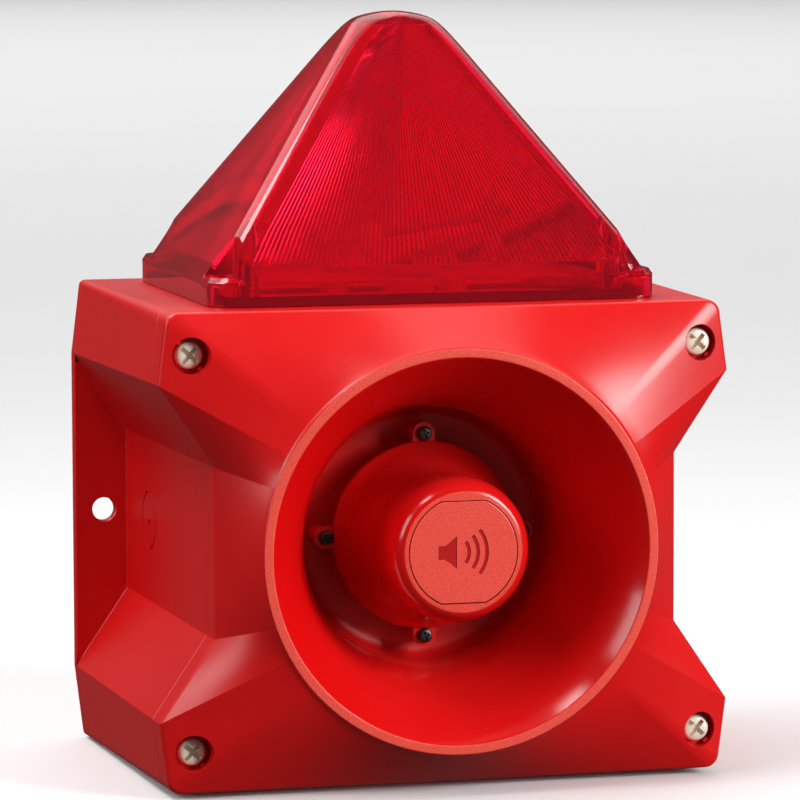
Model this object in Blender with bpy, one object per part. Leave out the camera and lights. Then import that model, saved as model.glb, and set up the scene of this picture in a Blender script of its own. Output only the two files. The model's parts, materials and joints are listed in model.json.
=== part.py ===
# Wall-mounted horn strobe: a deep moulded box with a horn moulded into its front cover and a
# pyramid strobe lens on top.  The wall face is the plane y = 0, the origin lies on the horn's
# axis, and the front faces -Y.  A depth is a distance in front of the wall, so y = -depth.
import math

import bmesh
import bpy
from mathutils import Matrix, Vector

mm = 0.001
CLEAR = 0.3 * mm                 # gap between pieces that touch

# Box outline, seen from the front (half sizes)
TAB_HALF = 102.7 * mm            # half width across the corner tabs
RECESS_HALF = 83.2 * mm          # half width between the two side recesses
HALF_HEIGHT = 83.2 * mm
TAB_END = 58.5 * mm              # height where a tab's slanted face starts
RECESS_END = 29.9 * mm           # height where it meets the recess wall
CORNER_X = 95.2 * mm
CORNER_Z = 78.4 * mm
CORNER_RADIUS = 4.8 * mm
DRAFT = 0.0115                   # the box grows towards the wall by this slope
WALL = 3.0 * mm
BACK_WALL = 4.5 * mm

# Depths along the horn's axis
FRONT_EDGE = 140.5 * mm
COVER_BACK = 129.9 * mm          # where the front cover starts
HOUSING_FRONT = 128.7 * mm       # where the rear housing ends
RIM_DEPTH = 161.5 * mm

# Horn
RIM_OUTER = 70.4 * mm
RIM_INNER = 67.15 * mm
FLARE_TANGENT = 125.0 * mm       # depth where the flare starts to open quickly
FLARE_RADIUS = 47.8 * mm         # its radius there
FLARE_SLOPE = 0.249
FLARE_FLOOR = 98.0 * mm
FLOOR_RADIUS = 45.6 * mm
FLARE_WALL = 2.8 * mm
THROAT_HOLE = 14.0 * mm
FLOOR_BOSS = FLARE_FLOOR - 1.5 * mm      # bosses on the flare's floor start inside it

# Horn plug
PLUG_BACK = 109.0 * mm
# radius and distance in front of the plug's back, in millimetres
PLUG_OUTER = ((33.4, 0), (33.4, 2.2), (30.5, 6.5), (27.9, 12), (26.2, 19), (25.3, 28), (25.5, 41),
              (24.9, 45.5), (23.6, 49), (21.6, 51.5), (20.5, 52.5), (5, 52.5))
PLUG_HOLLOW = ((5, 48), (21.0, 48), (22.4, 44), (22.6, 28), (25.4, 12), (28.0, 6.5), (30.8, 2.2), (30.8, -5))
BADGE_RADIUS = 19.25 * mm
BADGE_FLAT = 17.6 * mm
BADGE_THICK = 2.2 * mm
EAR_REACH = 36.0 * mm
EAR_HALF = 4.0 * mm
EAR_DEPTHS = (106.5 * mm, 110.5 * mm)
EAR_POST = 3.4 * mm

# Cover screws
SCREW_X = 91.3 * mm
SCREW_Z = 68.6 * mm
SCREW_SEAT = 138.1 * mm
COUNTERBORE = 6.4 * mm
HEAD_RADIUS = 4.85 * mm
HEAD_HEIGHT = 2.6 * mm
SHANK_RADIUS = 2.7 * mm
SHANK_LENGTH = 28.0 * mm
CROSS_TURN = math.radians(42)
COLUMN_RADIUS = 9.3 * mm         # columns round the screws, in the housing and in the cover
BOSS_TOP = FRONT_EDGE + 2.5 * mm
SLEEVE_BORE = 5.3 * mm
SLEEVE_FLOOR = 104.0 * mm
SLEEVE_LENGTH = 24.0 * mm
PILOT = 1.6 * mm                 # holes that small screws bite into

# Fixing holes and knock-outs
FIXING_X = 93.4 * mm
FIXING_RADIUS = 4.3 * mm
KNOCKOUT_DEPTH = 41.0 * mm
KNOCKOUT_RADIUS = 10.3 * mm
GROOVE_HALF = 0.5 * mm
STROBE_OPENING = ((-50.0 * mm, -105.0 * mm), (50.0 * mm, -35.0 * mm))

# Lens
LENS_HALF = 80.7 * mm
LENS_BACK = 8.7 * mm
LENS_FRONT = 129.5 * mm
LENS_MIDDLE = (LENS_BACK + LENS_FRONT) / 2
LENS_HALF_DEPTH = (LENS_FRONT - LENS_BACK) / 2
LENS_FOOT = HALF_HEIGHT + CLEAR
LENS_SHOULDER = 92.0 * mm
LENS_APEX = 201.6 * mm           # where the four slopes would meet
LENS_TOP = 183.5 * mm
CROWN_RADIUS = 40.0 * mm
LENS_WALL = 2.6 * mm
POCKET_X = 77.5 * mm
POCKET_DEPTHS = (16.2 * mm, 122.0 * mm)
POCKET_RADIUS = 9.5 * mm
POCKET_FLOOR = 93.5 * mm
TOWER_X = 66.0 * mm
TOWER_DEPTHS = (21.0 * mm, 117.0 * mm)
TOWER_RADIUS = 4.6 * mm
TOWER_BORE = 2.0 * mm

# Driver
DRIVER_FACE = 91.2 * mm
DRIVER_BOLTS = 36.5 * mm
BOLT_POST = 3.6 * mm

# Main board
BOARD_DEPTH = 14.0 * mm
BOARD_THICK = 1.6 * mm
BOARD_HALF = (60.0 * mm, 50.0 * mm)
BOARD_SCREW = (52.0 * mm, 42.0 * mm)
BOARD_POST = 4.0 * mm


def clear_scene():
    for obj in list(bpy.data.objects):
        bpy.data.objects.remove(obj, do_unlink=True)


def material(name, colour, roughness, metallic=0.0, transmission=0.0):
    mat = bpy.data.materials.new(name)
    mat.use_nodes = True
    shader = mat.node_tree.nodes["Principled BSDF"]
    shader.inputs["Base Color"].default_value = (*colour, 1.0)
    shader.inputs["Roughness"].default_value = roughness
    shader.inputs["Metallic"].default_value = metallic
    shader.inputs["Transmission Weight"].default_value = transmission
    return mat


def make_materials():
    return {
        "red": material("red_plastic", (0.60, 0.012, 0.015), 0.38),
        "lens": material("red_lens", (0.55, 0.003, 0.012), 0.05, 0.0, 0.9),
        "badge": material("badge_plastic", (0.62, 0.06, 0.05), 0.6),
        "screw": material("plated_steel", (0.72, 0.68, 0.60), 0.3, 1.0),
        "rubber": material("black_rubber", (0.02, 0.02, 0.02), 0.8),
        "seal": material("red_silicone", (0.25, 0.01, 0.01), 0.7),
        "brass": material("brass", (0.70, 0.50, 0.22), 0.3, 1.0),
        "black": material("black_plastic", (0.02, 0.02, 0.022), 0.45),
        "white": material("white_plastic", (0.80, 0.80, 0.78), 0.4),
        "magnet": material("ferrite", (0.05, 0.05, 0.055), 0.6, 0.3),
        "steel": material("zinc_steel", (0.55, 0.56, 0.58), 0.35, 1.0),
        "copper": material("copper_wire", (0.72, 0.33, 0.16), 0.35, 1.0),
        "film": material("polymer_film", (0.75, 0.68, 0.50), 0.4),
        "board": material("circuit_board", (0.02, 0.16, 0.06), 0.45),
        "green": material("green_plastic", (0.03, 0.30, 0.10), 0.45),
        "blue": material("blue_plastic", (0.02, 0.08, 0.40), 0.4),
        "glass": material("tube_glass", (0.9, 0.9, 0.92), 0.03, 0.0, 0.9),
    }


# ---------------------------------------------------------------- mesh helpers

def to_object(name, bm, mat, parent=None, location=(0.0, 0.0, 0.0)):
    bmesh.ops.remove_doubles(bm, verts=bm.verts, dist=0.002 * mm)
    bmesh.ops.recalc_face_normals(bm, faces=bm.faces)
    mesh = bpy.data.meshes.new(name)
    bm.to_mesh(mesh)
    bm.free()
    mesh.shade_smooth()
    mesh.set_sharp_from_angle(angle=math.radians(32))
    obj = bpy.data.objects.new(name, mesh)
    obj.location = location
    if mat is not None:
        mesh.materials.append(mat)
    if parent is not None:
        obj.parent = parent
        obj.matrix_parent_inverse = Matrix.Translation(-parent.location)
    bpy.context.collection.objects.link(obj)
    return obj


def guide(obj):
    obj.hide_render = True
    obj.display_type = "WIRE"
    return obj


def boolean(target, tool, operation):
    mod = target.modifiers.new(operation.lower(), "BOOLEAN")
    mod.operation = operation
    mod.solver = "EXACT"
    mod.object = guide(tool)


def empty(name, location):
    obj = bpy.data.objects.new(name, None)
    obj.location = location
    bpy.context.collection.objects.link(obj)
    return obj


def add_rings(bm, rings, closed=False):
    """Join rings of equal count; the ends are capped unless the rings form a loop."""
    layers = [[bm.verts.new(p) for p in ring] for ring in rings]
    pairs = list(zip(layers, layers[1:]))
    if closed:
        pairs.append((layers[-1], layers[0]))
    for low, high in pairs:
        for i in range(len(low)):
            j = (i + 1) % len(low)
            bm.faces.new((low[i], low[j], high[j], high[i]))
    if not closed:
        bm.faces.new(layers[0])
        bm.faces.new(layers[-1])


def add_box(bm, low, high):
    corners = ((low[0], low[1]), (high[0], low[1]), (high[0], high[1]), (low[0], high[1]))
    add_rings(bm, [[(x, y, z) for x, y in corners] for z in (low[2], high[2])])


AXES = {
    "X": lambda u, v, w: (w, u, v),
    "Y": lambda u, v, w: (u, -w, v),
    "Z": lambda u, v, w: (u, v, w),
}


def add_turned(bm, profile, centre=(0.0, 0.0, 0.0), axis="Y", count=24, closed=False):
    """Turn (radius, distance) points round an axis; a distance along Y is a depth."""
    rings = []
    for radius, along in profile:
        ring = []
        for i in range(count):
            angle = 2 * math.pi * i / count
            point = AXES[axis](radius * math.cos(angle), radius * math.sin(angle), along)
            ring.append(Vector(point) + Vector(centre))
        rings.append(ring)
    add_rings(bm, rings, closed)


def rod(bm, radius, start, end, centre=(0.0, 0.0, 0.0), axis="Y", count=20):
    add_turned(bm, [(radius, start), (radius, end)], centre, axis, count)


def box_part(name, low, high, mat):
    bm = bmesh.new()
    add_box(bm, low, high)
    return to_object(name, bm, mat)


def turned_part(name, profile, mat, parent=None, location=(0, 0, 0), axis="Y", count=24, closed=False):
    bm = bmesh.new()
    add_turned(bm, profile, axis=axis, count=count, closed=closed)
    return to_object(name, bm, mat, parent, location)


def four_corners(x, z):
    return [(sx * x, sz * z) for sx in (-1, 1) for sz in (-1, 1)]


def in_mm(profile, start=0.0):
    """A profile written in millimetres, moved along by start."""
    return [(radius * mm, start + along * mm) for radius, along in profile]


# ---------------------------------------------------------------- outline and front surface

def outline(grow, filled=False):
    """Box outline pushed outwards by grow; filled leaves out the side recesses."""
    slant = math.atan2(TAB_HALF - RECESS_HALF, TAB_END - RECESS_END)
    shift = grow * math.tan(slant / 2)
    tab_x = TAB_HALF + grow
    recess_x = tab_x if filled else RECESS_HALF + grow
    top = HALF_HEIGHT + grow
    quarter = [(CORNER_X * f, top) for f in (0.0, 0.15, 0.3, 0.46, 0.63, 0.82)]
    for degrees in (90, 60, 30, 4):
        angle = math.radians(degrees)
        radius = CORNER_RADIUS + grow
        quarter.append((CORNER_X + radius * math.cos(angle), CORNER_Z + radius * math.sin(angle)))
    tab_z = TAB_END - shift
    recess_z = RECESS_END - shift
    quarter.append((tab_x, tab_z))
    quarter.append(((tab_x + recess_x) / 2, (tab_z + recess_z) / 2))
    quarter.append((recess_x, recess_z))
    quarter.append((recess_x, recess_z / 2))
    quarter.append((recess_x, 0.0))
    right = quarter + [(x, -z) for x, z in reversed(quarter[:-1])]
    left = [(-x, z) for x, z in reversed(right[1:-1])]
    return right + left


def section(depth, inset=0.0, filled=False):
    grow = DRAFT * (FRONT_EDGE - depth) - inset
    return [Vector((x, -depth, z)) for x, z in outline(grow, filled)]


def circle_section(radius, depth):
    """A circle whose points lie at the outline's own angles."""
    ring = []
    for x, z in outline(0.0):
        angle = math.atan2(z, x)
        ring.append(Vector((radius * math.cos(angle), -depth, radius * math.sin(angle))))
    return ring


def between(ring_a, ring_b, t):
    return [a.lerp(b, t) for a, b in zip(ring_a, ring_b)]


def flare_radius(depth):
    """Inner radius of the horn: nearly straight at the floor, opening faster to the mouth."""
    if depth >= FLARE_TANGENT:
        run = depth - FLARE_TANGENT
        full = RIM_DEPTH - FLARE_TANGENT
        bend = (RIM_INNER - FLARE_RADIUS - FLARE_SLOPE * full) / full ** 2
        return FLARE_RADIUS + FLARE_SLOPE * run + bend * run * run
    run = FLARE_TANGENT - depth
    reach = 2 * (FLARE_RADIUS - FLOOR_RADIUS) / FLARE_SLOPE
    run = min(run, reach)
    return FLARE_RADIUS - FLARE_SLOPE * run + FLARE_SLOPE * run * run / (2 * reach)


# ---------------------------------------------------------------- housing and cover

def make_rear_housing(mats):
    bm = bmesh.new()
    add_rings(bm, [section(0.0, 0.0, True), section(BACK_WALL, 0.0, True), section(BACK_WALL),
                   section(HOUSING_FRONT)])
    housing = to_object("rear_housing", bm, mats["red"])

    bm = bmesh.new()
    add_rings(bm, [section(BACK_WALL, WALL), section(HOUSING_FRONT + 5 * mm, WALL)])
    boolean(housing, to_object("guide_cavity", bm, None), "DIFFERENCE")

    bm = bmesh.new()
    for x, z in four_corners(SCREW_X, SCREW_Z):
        rod(bm, COLUMN_RADIUS, BACK_WALL - 1 * mm, HOUSING_FRONT - 0.4 * mm, (x, 0, z), count=16)
    for x, z in four_corners(*BOARD_SCREW):
        rod(bm, BOARD_POST, BACK_WALL - 1 * mm, BOARD_DEPTH - CLEAR, (x, 0, z), count=16)
    boolean(housing, to_object("guide_posts", bm, None), "UNION")

    bm = bmesh.new()
    for x, z in four_corners(SCREW_X, SCREW_Z):
        rod(bm, SLEEVE_BORE, SLEEVE_FLOOR, HOUSING_FRONT + 5 * mm, (x, 0, z), count=16)
    for x, z in four_corners(*BOARD_SCREW):
        rod(bm, PILOT, BACK_WALL + 2 * mm, BOARD_DEPTH + 1 * mm, (x, 0, z), count=12)
    for side in (-1, 1):
        rod(bm, FIXING_RADIUS, -2 * mm, BACK_WALL + 2 * mm, (side * FIXING_X, 0, 0))
        inner, outer = KNOCKOUT_RADIUS - GROOVE_HALF, KNOCKOUT_RADIUS + GROOVE_HALF
        floor, mouth = side * RECESS_HALF, side * (RECESS_HALF + 5 * mm)
        groove = [(inner, floor), (outer, floor), (outer, mouth), (inner, mouth)]
        add_turned(bm, groove, (0, -KNOCKOUT_DEPTH, 0), "X", 32, True)
        for depth in TOWER_DEPTHS:
            place = (side * TOWER_X, -depth, 0)
            rod(bm, TOWER_BORE, HALF_HEIGHT - 8 * mm, HALF_HEIGHT + 6 * mm, place, "Z", 16)
    low, high = STROBE_OPENING
    add_box(bm, (*low, HALF_HEIGHT - 10 * mm), (*high, HALF_HEIGHT + 10 * mm))
    boolean(housing, to_object("guide_openings", bm, None), "DIFFERENCE")


def make_front_cover(mats, parent):
    edge = section(FRONT_EDGE, 1.1 * mm)
    rim = circle_section(RIM_OUTER + 0.5 * mm, RIM_DEPTH - 0.9 * mm)
    rings = [section(COVER_BACK), section(FRONT_EDGE - 1.3 * mm), edge]
    rings.append(between(edge, rim, 0.5))
    rings += [rim, circle_section(RIM_OUTER, RIM_DEPTH), circle_section(RIM_INNER, RIM_DEPTH)]
    flare = [154, 145, 135, 124, 110]
    rings += [circle_section(flare_radius(d * mm), d * mm) for d in flare]
    rings.append(circle_section(FLOOR_RADIUS - 1.5 * mm, FLARE_FLOOR + 3 * mm))
    rings.append(circle_section(FLOOR_RADIUS - 6 * mm, FLARE_FLOOR))
    rings.append(circle_section(THROAT_HOLE, FLARE_FLOOR))
    rings.append(circle_section(THROAT_HOLE, FLARE_FLOOR - WALL))
    rings.append(circle_section(FLOOR_RADIUS + FLARE_WALL, FLARE_FLOOR - WALL))
    rings += [circle_section(flare_radius(d * mm) + FLARE_WALL, d * mm) for d in (112, 130, 144)]
    shoulder = circle_section(flare_radius(155 * mm) + FLARE_WALL, 155 * mm)
    inner_edge = section(FRONT_EDGE - WALL, WALL)
    rings += [shoulder, inner_edge, section(COVER_BACK, WALL)]
    bm = bmesh.new()
    add_rings(bm, rings, closed=True)
    cover = to_object("front_cover", bm, mats["red"], parent)

    bm = bmesh.new()
    for x, z in four_corners(SCREW_X, SCREW_Z):
        rod(bm, COLUMN_RADIUS, COVER_BACK + 0.4 * mm, BOSS_TOP, (x, 0, z), count=16)
    for i in range(4):
        angle = math.pi / 2 * i
        rod(bm, EAR_POST, FLOOR_BOSS, EAR_DEPTHS[0] - CLEAR, polar(EAR_REACH, angle), count=16)
        angle += math.pi / 4
        rod(bm, BOLT_POST, DRIVER_FACE + CLEAR, FLOOR_BOSS, polar(DRIVER_BOLTS, angle), count=16)
    boolean(cover, to_object("guide_bosses", bm, None), "UNION")

    bm = bmesh.new()
    for x, z in four_corners(SCREW_X, SCREW_Z):
        profile = [(SHANK_RADIUS + 0.5 * mm, COVER_BACK - 5 * mm), (SHANK_RADIUS + 0.5 * mm, SCREW_SEAT),
                   (COUNTERBORE, SCREW_SEAT), (COUNTERBORE, RIM_DEPTH)]
        add_turned(bm, profile, (x, 0, z))
    for i in range(4):
        angle = math.pi / 2 * i
        rod(bm, PILOT, FLARE_FLOOR + 1 * mm, EAR_DEPTHS[0] + 1.5 * mm, polar(EAR_REACH, angle), count=12)
        angle += math.pi / 4
        rod(bm, PILOT, DRIVER_FACE - 2 * mm, FLARE_FLOOR - 2 * mm, polar(DRIVER_BOLTS, angle), count=12)
    boolean(cover, to_object("guide_bores", bm, None), "DIFFERENCE")


def polar(radius, angle):
    return (radius * math.cos(angle), 0.0, radius * math.sin(angle))


def make_cover_gasket(mats):
    low = HOUSING_FRONT + CLEAR
    high = COVER_BACK - CLEAR
    outer, inner = 0.4 * mm, 2.7 * mm
    rings = [section(low, outer), section(high, outer), section(high, inner), section(low, inner)]
    bm = bmesh.new()
    add_rings(bm, rings, closed=True)
    to_object("cover_gasket", bm, mats["seal"])


def pan_screw(name, mats, location, head, shank, parent=None):
    """Pan-head screw that faces the front; head and shank are (radius, length)."""
    radius, height = head
    profile = [(shank[0], -shank[1]), (shank[0], 0.0), (radius, 0.0),
               (radius, 0.5 * height), (0.7 * radius, height)]
    count = 20 if radius > 4 * mm else 12
    return turned_part(name, profile, mats["screw"], parent, location, "Y", count)


def cut_cross(screw, name):
    """Cross-shaped driver recess cut into the head of a cover screw."""
    reach, half = 3.0 * mm, 0.55 * mm
    plan = [(-reach, -half), (-half, -half), (-half, -reach), (half, -reach), (half, -half), (reach, -half),
            (reach, half), (half, half), (half, reach), (-half, reach), (-half, half), (-reach, half)]
    rings = []
    for depth in (HEAD_HEIGHT - 1.3 * mm, HEAD_HEIGHT + 1 * mm):
        ring = []
        for u, v in plan:
            x = u * math.cos(CROSS_TURN) - v * math.sin(CROSS_TURN)
            z = u * math.sin(CROSS_TURN) + v * math.cos(CROSS_TURN)
            ring.append(Vector((x, -depth, z)))
        rings.append(ring)
    bm = bmesh.new()
    add_rings(bm, rings)
    tool = to_object(name, bm, None, None, screw.location)
    boolean(screw, tool, "DIFFERENCE")


def make_cover_screws(mats, parent):
    places = [("top_left", -1, 1), ("top_right", 1, 1), ("bottom_left", -1, -1), ("bottom_right", 1, -1)]
    inner, outer = SHANK_RADIUS + 0.5 * mm, SLEEVE_BORE - CLEAR
    sleeve = [(inner, 0.0), (outer, 0.0), (outer, SLEEVE_LENGTH), (inner, SLEEVE_LENGTH)]
    for name, sx, sz in places:
        x, z = sx * SCREW_X, sz * SCREW_Z
        head = (HEAD_RADIUS, HEAD_HEIGHT)
        shank = (SHANK_RADIUS, SHANK_LENGTH)
        screw = pan_screw("cover_screw_" + name, mats, (x, -(SCREW_SEAT + CLEAR), z), head, shank, parent)
        cut_cross(screw, "guide_cross_" + name)
        place = (x, -(SLEEVE_FLOOR + CLEAR), z)
        turned_part("screw_receiver_" + name, sleeve, mats["brass"], None, place, "Y", 16, True)


# ---------------------------------------------------------------- horn plug

def make_horn_plug(mats, parent):
    bm = bmesh.new()
    add_turned(bm, in_mm(PLUG_OUTER, PLUG_BACK), count=32)
    plug = to_object("horn_plug", bm, mats["red"], parent)

    bm = bmesh.new()
    add_turned(bm, in_mm(PLUG_HOLLOW, PLUG_BACK), count=32)
    boolean(plug, to_object("guide_plug_bore", bm, None), "DIFFERENCE")

    bm = bmesh.new()
    for i in range(4):
        add_ear(bm, math.pi / 2 * i)
    boolean(plug, to_object("guide_ears", bm, None), "UNION")

    bm = bmesh.new()
    for i in range(4):
        place = polar(EAR_REACH, math.pi / 2 * i)
        rod(bm, PILOT, EAR_DEPTHS[0] - 6 * mm, EAR_DEPTHS[1] + 6 * mm, place, count=12)
    back = RIM_DEPTH - BADGE_THICK
    add_disc_with_flats(bm, BADGE_RADIUS + CLEAR, BADGE_FLAT + CLEAR, back - CLEAR, RIM_DEPTH + 2 * mm)
    boolean(plug, to_object("guide_badge_seat", bm, None), "DIFFERENCE")

    bm = bmesh.new()
    add_disc_with_flats(bm, BADGE_RADIUS, BADGE_FLAT, back, RIM_DEPTH)
    to_object("plug_badge", bm, mats["badge"], parent)

    for i in range(4):
        place = Vector(polar(EAR_REACH, math.pi / 2 * i)) + Vector((0, -(EAR_DEPTHS[1] + CLEAR), 0))
        pan_screw("plug_screw_%d" % (i + 1), mats, place, (2.6 * mm, 1.7 * mm), (1.2 * mm, 10 * mm), parent)


def add_ear(bm, angle):
    """Rounded lug that reaches outwards from the plug's rear rim."""
    root = 31.4 * mm
    plan = [(root, -EAR_HALF), (EAR_REACH, -EAR_HALF)]
    for degrees in (-60, -30, 0, 30, 60):
        a = math.radians(degrees)
        plan.append((EAR_REACH + EAR_HALF * math.cos(a), EAR_HALF * math.sin(a)))
    plan += [(EAR_REACH, EAR_HALF), (root, EAR_HALF)]
    rings = []
    for depth in EAR_DEPTHS:
        ring = []
        for u, v in plan:
            x = u * math.cos(angle) - v * math.sin(angle)
            z = u * math.sin(angle) + v * math.cos(angle)
            ring.append(Vector((x, -depth, z)))
        rings.append(ring)
    add_rings(bm, rings)


def add_disc_with_flats(bm, radius, flat, low, high):
    edge = math.asin(flat / radius)
    plan = []
    for start in (-edge, math.pi - edge):
        for i in range(13):
            angle = start + 2 * edge * i / 12
            plan.append((radius * math.cos(angle), radius * math.sin(angle)))
    add_rings(bm, [[Vector((x, -depth, z)) for x, z in plan] for depth in (low, high)])


# ---------------------------------------------------------------- sounder driver

# Profiles of the driver: radius and depth in millimetres
THROAT_TUBE = ((11, 91.5), (20, 91.5), (20, 94.7), (13.7, 94.7), (13.7, 138), (12.6, 139), (11, 139))
FLANGE = ((11, 87.2), (41, 87.2), (41, 91.2), (11, 91.2))
CAN = ((33, 86.9), (33, 52), (20, 52), (20, 54), (31, 54), (31, 86.9))
POLE = ((30, 54.3), (30, 59.5), (11.2, 59.5), (11.2, 77))
MAGNET = ((17, 59.8), (30, 59.8), (30, 71.4), (17, 71.4))
FRONT_PLATE = ((14.4, 71.7), (30, 71.7), (30, 77), (14.4, 77))
COIL = ((12.8, 69), (13.7, 69), (13.7, 78), (12.8, 78))
SHELL = ((12, 68), (12.5, 68), (12.5, 80.6), (27, 80.6), (27, 81.2), (12.4, 81.2), (8, 83.6), (1.5, 84.6))
SHELL_HOLLOW = ((12, 60), (12, 80.6), (7.6, 83), (1.5, 84))


def ring_part(name, profile, mat, parent, count=24):
    return turned_part(name, in_mm(profile), mat, parent, count=count, closed=True)


def make_driver(mats, parent, moving):
    ring_part("throat_tube", THROAT_TUBE, mats["red"], parent, 20)
    plate = ring_part("driver_flange", FLANGE, mats["black"], parent)
    bolts = [polar(DRIVER_BOLTS, math.pi / 4 + math.pi / 2 * i) for i in range(4)]
    bm = bmesh.new()
    for bolt in bolts:
        rod(bm, 1.8 * mm, 80 * mm, 96 * mm, bolt, count=12)
    boolean(plate, to_object("guide_flange_holes", bm, None), "DIFFERENCE")
    profile = [(1.4 * mm, 8.5 * mm), (1.4 * mm, 0.0), (2.6 * mm, 0.0), (2.2 * mm, -1.8 * mm)]
    seat = FLANGE[0][1] * mm - CLEAR
    for i, bolt in enumerate(bolts):
        place = Vector(bolt) + Vector((0, -seat, 0))
        turned_part("driver_screw_%d" % (i + 1), profile, mats["screw"], parent, place, "Y", 12)
    ring_part("driver_can", CAN, mats["black"], parent)
    turned_part("pole_piece", in_mm(POLE), mats["steel"], parent, count=24)
    ring_part("ring_magnet", MAGNET, mats["magnet"], parent)
    ring_part("front_plate", FRONT_PLATE, mats["steel"], parent)
    make_diaphragm(mats, moving)
    ring_part("voice_coil", COIL, mats["copper"], moving)


def make_diaphragm(mats, moving):
    """Dome with a flat rim and a tube that carries the coil."""
    bm = bmesh.new()
    add_turned(bm, in_mm(SHELL), count=24)
    diaphragm = to_object("diaphragm", bm, mats["film"], moving)
    bm = bmesh.new()
    add_turned(bm, in_mm(SHELL_HOLLOW), count=24)
    boolean(diaphragm, to_object("guide_diaphragm_bore", bm, None), "DIFFERENCE")


# ---------------------------------------------------------------- boards and controls

FACE = BOARD_DEPTH + BOARD_THICK + CLEAR      # parts on the board stand this far from the wall


def on_board(low, high):
    """Corners of a box given in millimetres as x, height over the board and z."""
    near = (low[0] * mm, -(FACE + high[1] * mm), low[2] * mm)
    far = (high[0] * mm, -(FACE + low[1] * mm), high[2] * mm)
    return near, far


def make_main_board(mats):
    front = BOARD_DEPTH + BOARD_THICK
    half_x, half_z = BOARD_HALF
    board = box_part("main_board", (-half_x, -front, -half_z), (half_x, -BOARD_DEPTH, half_z), mats["board"])
    bm = bmesh.new()
    for x, z in four_corners(*BOARD_SCREW):
        rod(bm, 1.8 * mm, BOARD_DEPTH - 3 * mm, BOARD_DEPTH + 5 * mm, (x, 0, z), count=12)
    boolean(board, to_object("guide_board_holes", bm, None), "DIFFERENCE")
    for i, (x, z) in enumerate(four_corners(*BOARD_SCREW)):
        place = (x, -(front + CLEAR), z)
        pan_screw("board_screw_%d" % (i + 1), mats, place, (2.8 * mm, 1.8 * mm), (1.3 * mm, 7.5 * mm))
    make_terminals(mats)
    make_supply(mats)
    make_tone_switch(mats)
    make_volume_control(mats)


def make_terminals(mats):
    """Six-way terminal block with screw wells and wire entries."""
    block = box_part("terminal_block", *on_board((-30, 0, -47), (10, 12, -36)), mats["green"])
    bm = bmesh.new()
    for i in range(6):
        x = -26.5 + 6.6 * i
        rod(bm, 1.6 * mm, FACE + 8 * mm, FACE + 14 * mm, (x * mm, 0, -39.5 * mm), count=8)
        add_box(bm, *on_board((x - 1.5, 1.5, -50), (x + 1.5, 5, -41)))
    boolean(block, to_object("guide_terminal_holes", bm, None), "DIFFERENCE")


def make_supply(mats):
    choke = in_mm(((9, 0), (9, 14), (4, 14), (4, 0)))
    turned_part("supply_choke", choke, mats["copper"], None, (30 * mm, -FACE, 26 * mm), "Y", 24, True)
    can = in_mm(((6.0, 0), (6.3, 0.6), (6.3, 19.5), (5.6, 20)))
    for i, x in enumerate((-34, -14)):
        place = (x * mm, -FACE, 26 * mm)
        turned_part("supply_capacitor_%d" % (i + 1), can, mats["blue"], None, place, "Y", 20)


def make_tone_switch(mats):
    """Five slide switches in a row that pick the tone; each slider moves 1.8 mm."""
    pitch, middle, height = 2.54, 36, 6
    low, high = on_board((middle - 7.6, 0, -9), (middle + 7.6, height, 1))
    body = box_part("tone_switch_body", low, high, mats["red"])
    bm = bmesh.new()
    for i in range(5):
        x = middle + (i - 2) * pitch
        add_box(bm, *on_board((x - 0.85, height - 1.8, -6.2), (x + 0.85, height + 1, -1.8)))
    boolean(body, to_object("guide_switch_slots", bm, None), "DIFFERENCE")
    for i in range(5):
        bm = bmesh.new()
        add_box(bm, (-0.5 * mm, -0.9 * mm, -0.8 * mm), (0.5 * mm, 1.4 * mm, 0.8 * mm))
        place = ((middle + (i - 2) * pitch) * mm, -(FACE + height * mm), -4.9 * mm)
        to_object("tone_switch_%d" % (i + 1), bm, mats["white"], None, place)


def make_volume_control(mats):
    """Small trimmer with a slotted rotor."""
    body = box_part("volume_control_body", *on_board((3, 0, -9), (13, 5, 1)), mats["blue"])
    x, z = 8 * mm, -4 * mm
    bm = bmesh.new()
    rod(bm, 3.3 * mm, FACE + 2.5 * mm, FACE + 8 * mm, (x, 0, z), count=20)
    boolean(body, to_object("guide_volume_seat", bm, None), "DIFFERENCE")
    place = (x, -(FACE + 2.8 * mm), z)
    turning = in_mm(((3.0, 0), (3.0, 2.6), (2.6, 3.0)))
    rotor = turned_part("volume_control_rotor", turning, mats["white"], None, place, "Y", 20)
    bm = bmesh.new()
    add_box(bm, (-2.0 * mm, -4.0 * mm, -0.4 * mm), (2.0 * mm, -2.0 * mm, 0.4 * mm))
    boolean(rotor, to_object("guide_rotor_slot", bm, None, None, place), "DIFFERENCE")


# ---------------------------------------------------------------- lens and strobe

def lean(bm):
    """The box's top rises towards the wall, and what stands on it rises with it."""
    for vert in bm.verts:
        vert.co.z += DRAFT * (FRONT_EDGE + vert.co.y)


def rounded_rectangle(half_x, half_y, radius, z, count=5):
    ring = []
    radius = min(radius, half_x, half_y)
    for quadrant in range(4):
        sx, sy = ((1, 1), (-1, 1), (-1, -1), (1, -1))[quadrant]
        for i in range(count):
            angle = math.pi / 2 * (quadrant + i / (count - 1))
            x = sx * (half_x - radius) + radius * math.cos(angle)
            y = sy * (half_y - radius) + radius * math.sin(angle)
            ring.append(Vector((x, y - LENS_MIDDLE, z)))
    return ring


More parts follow.
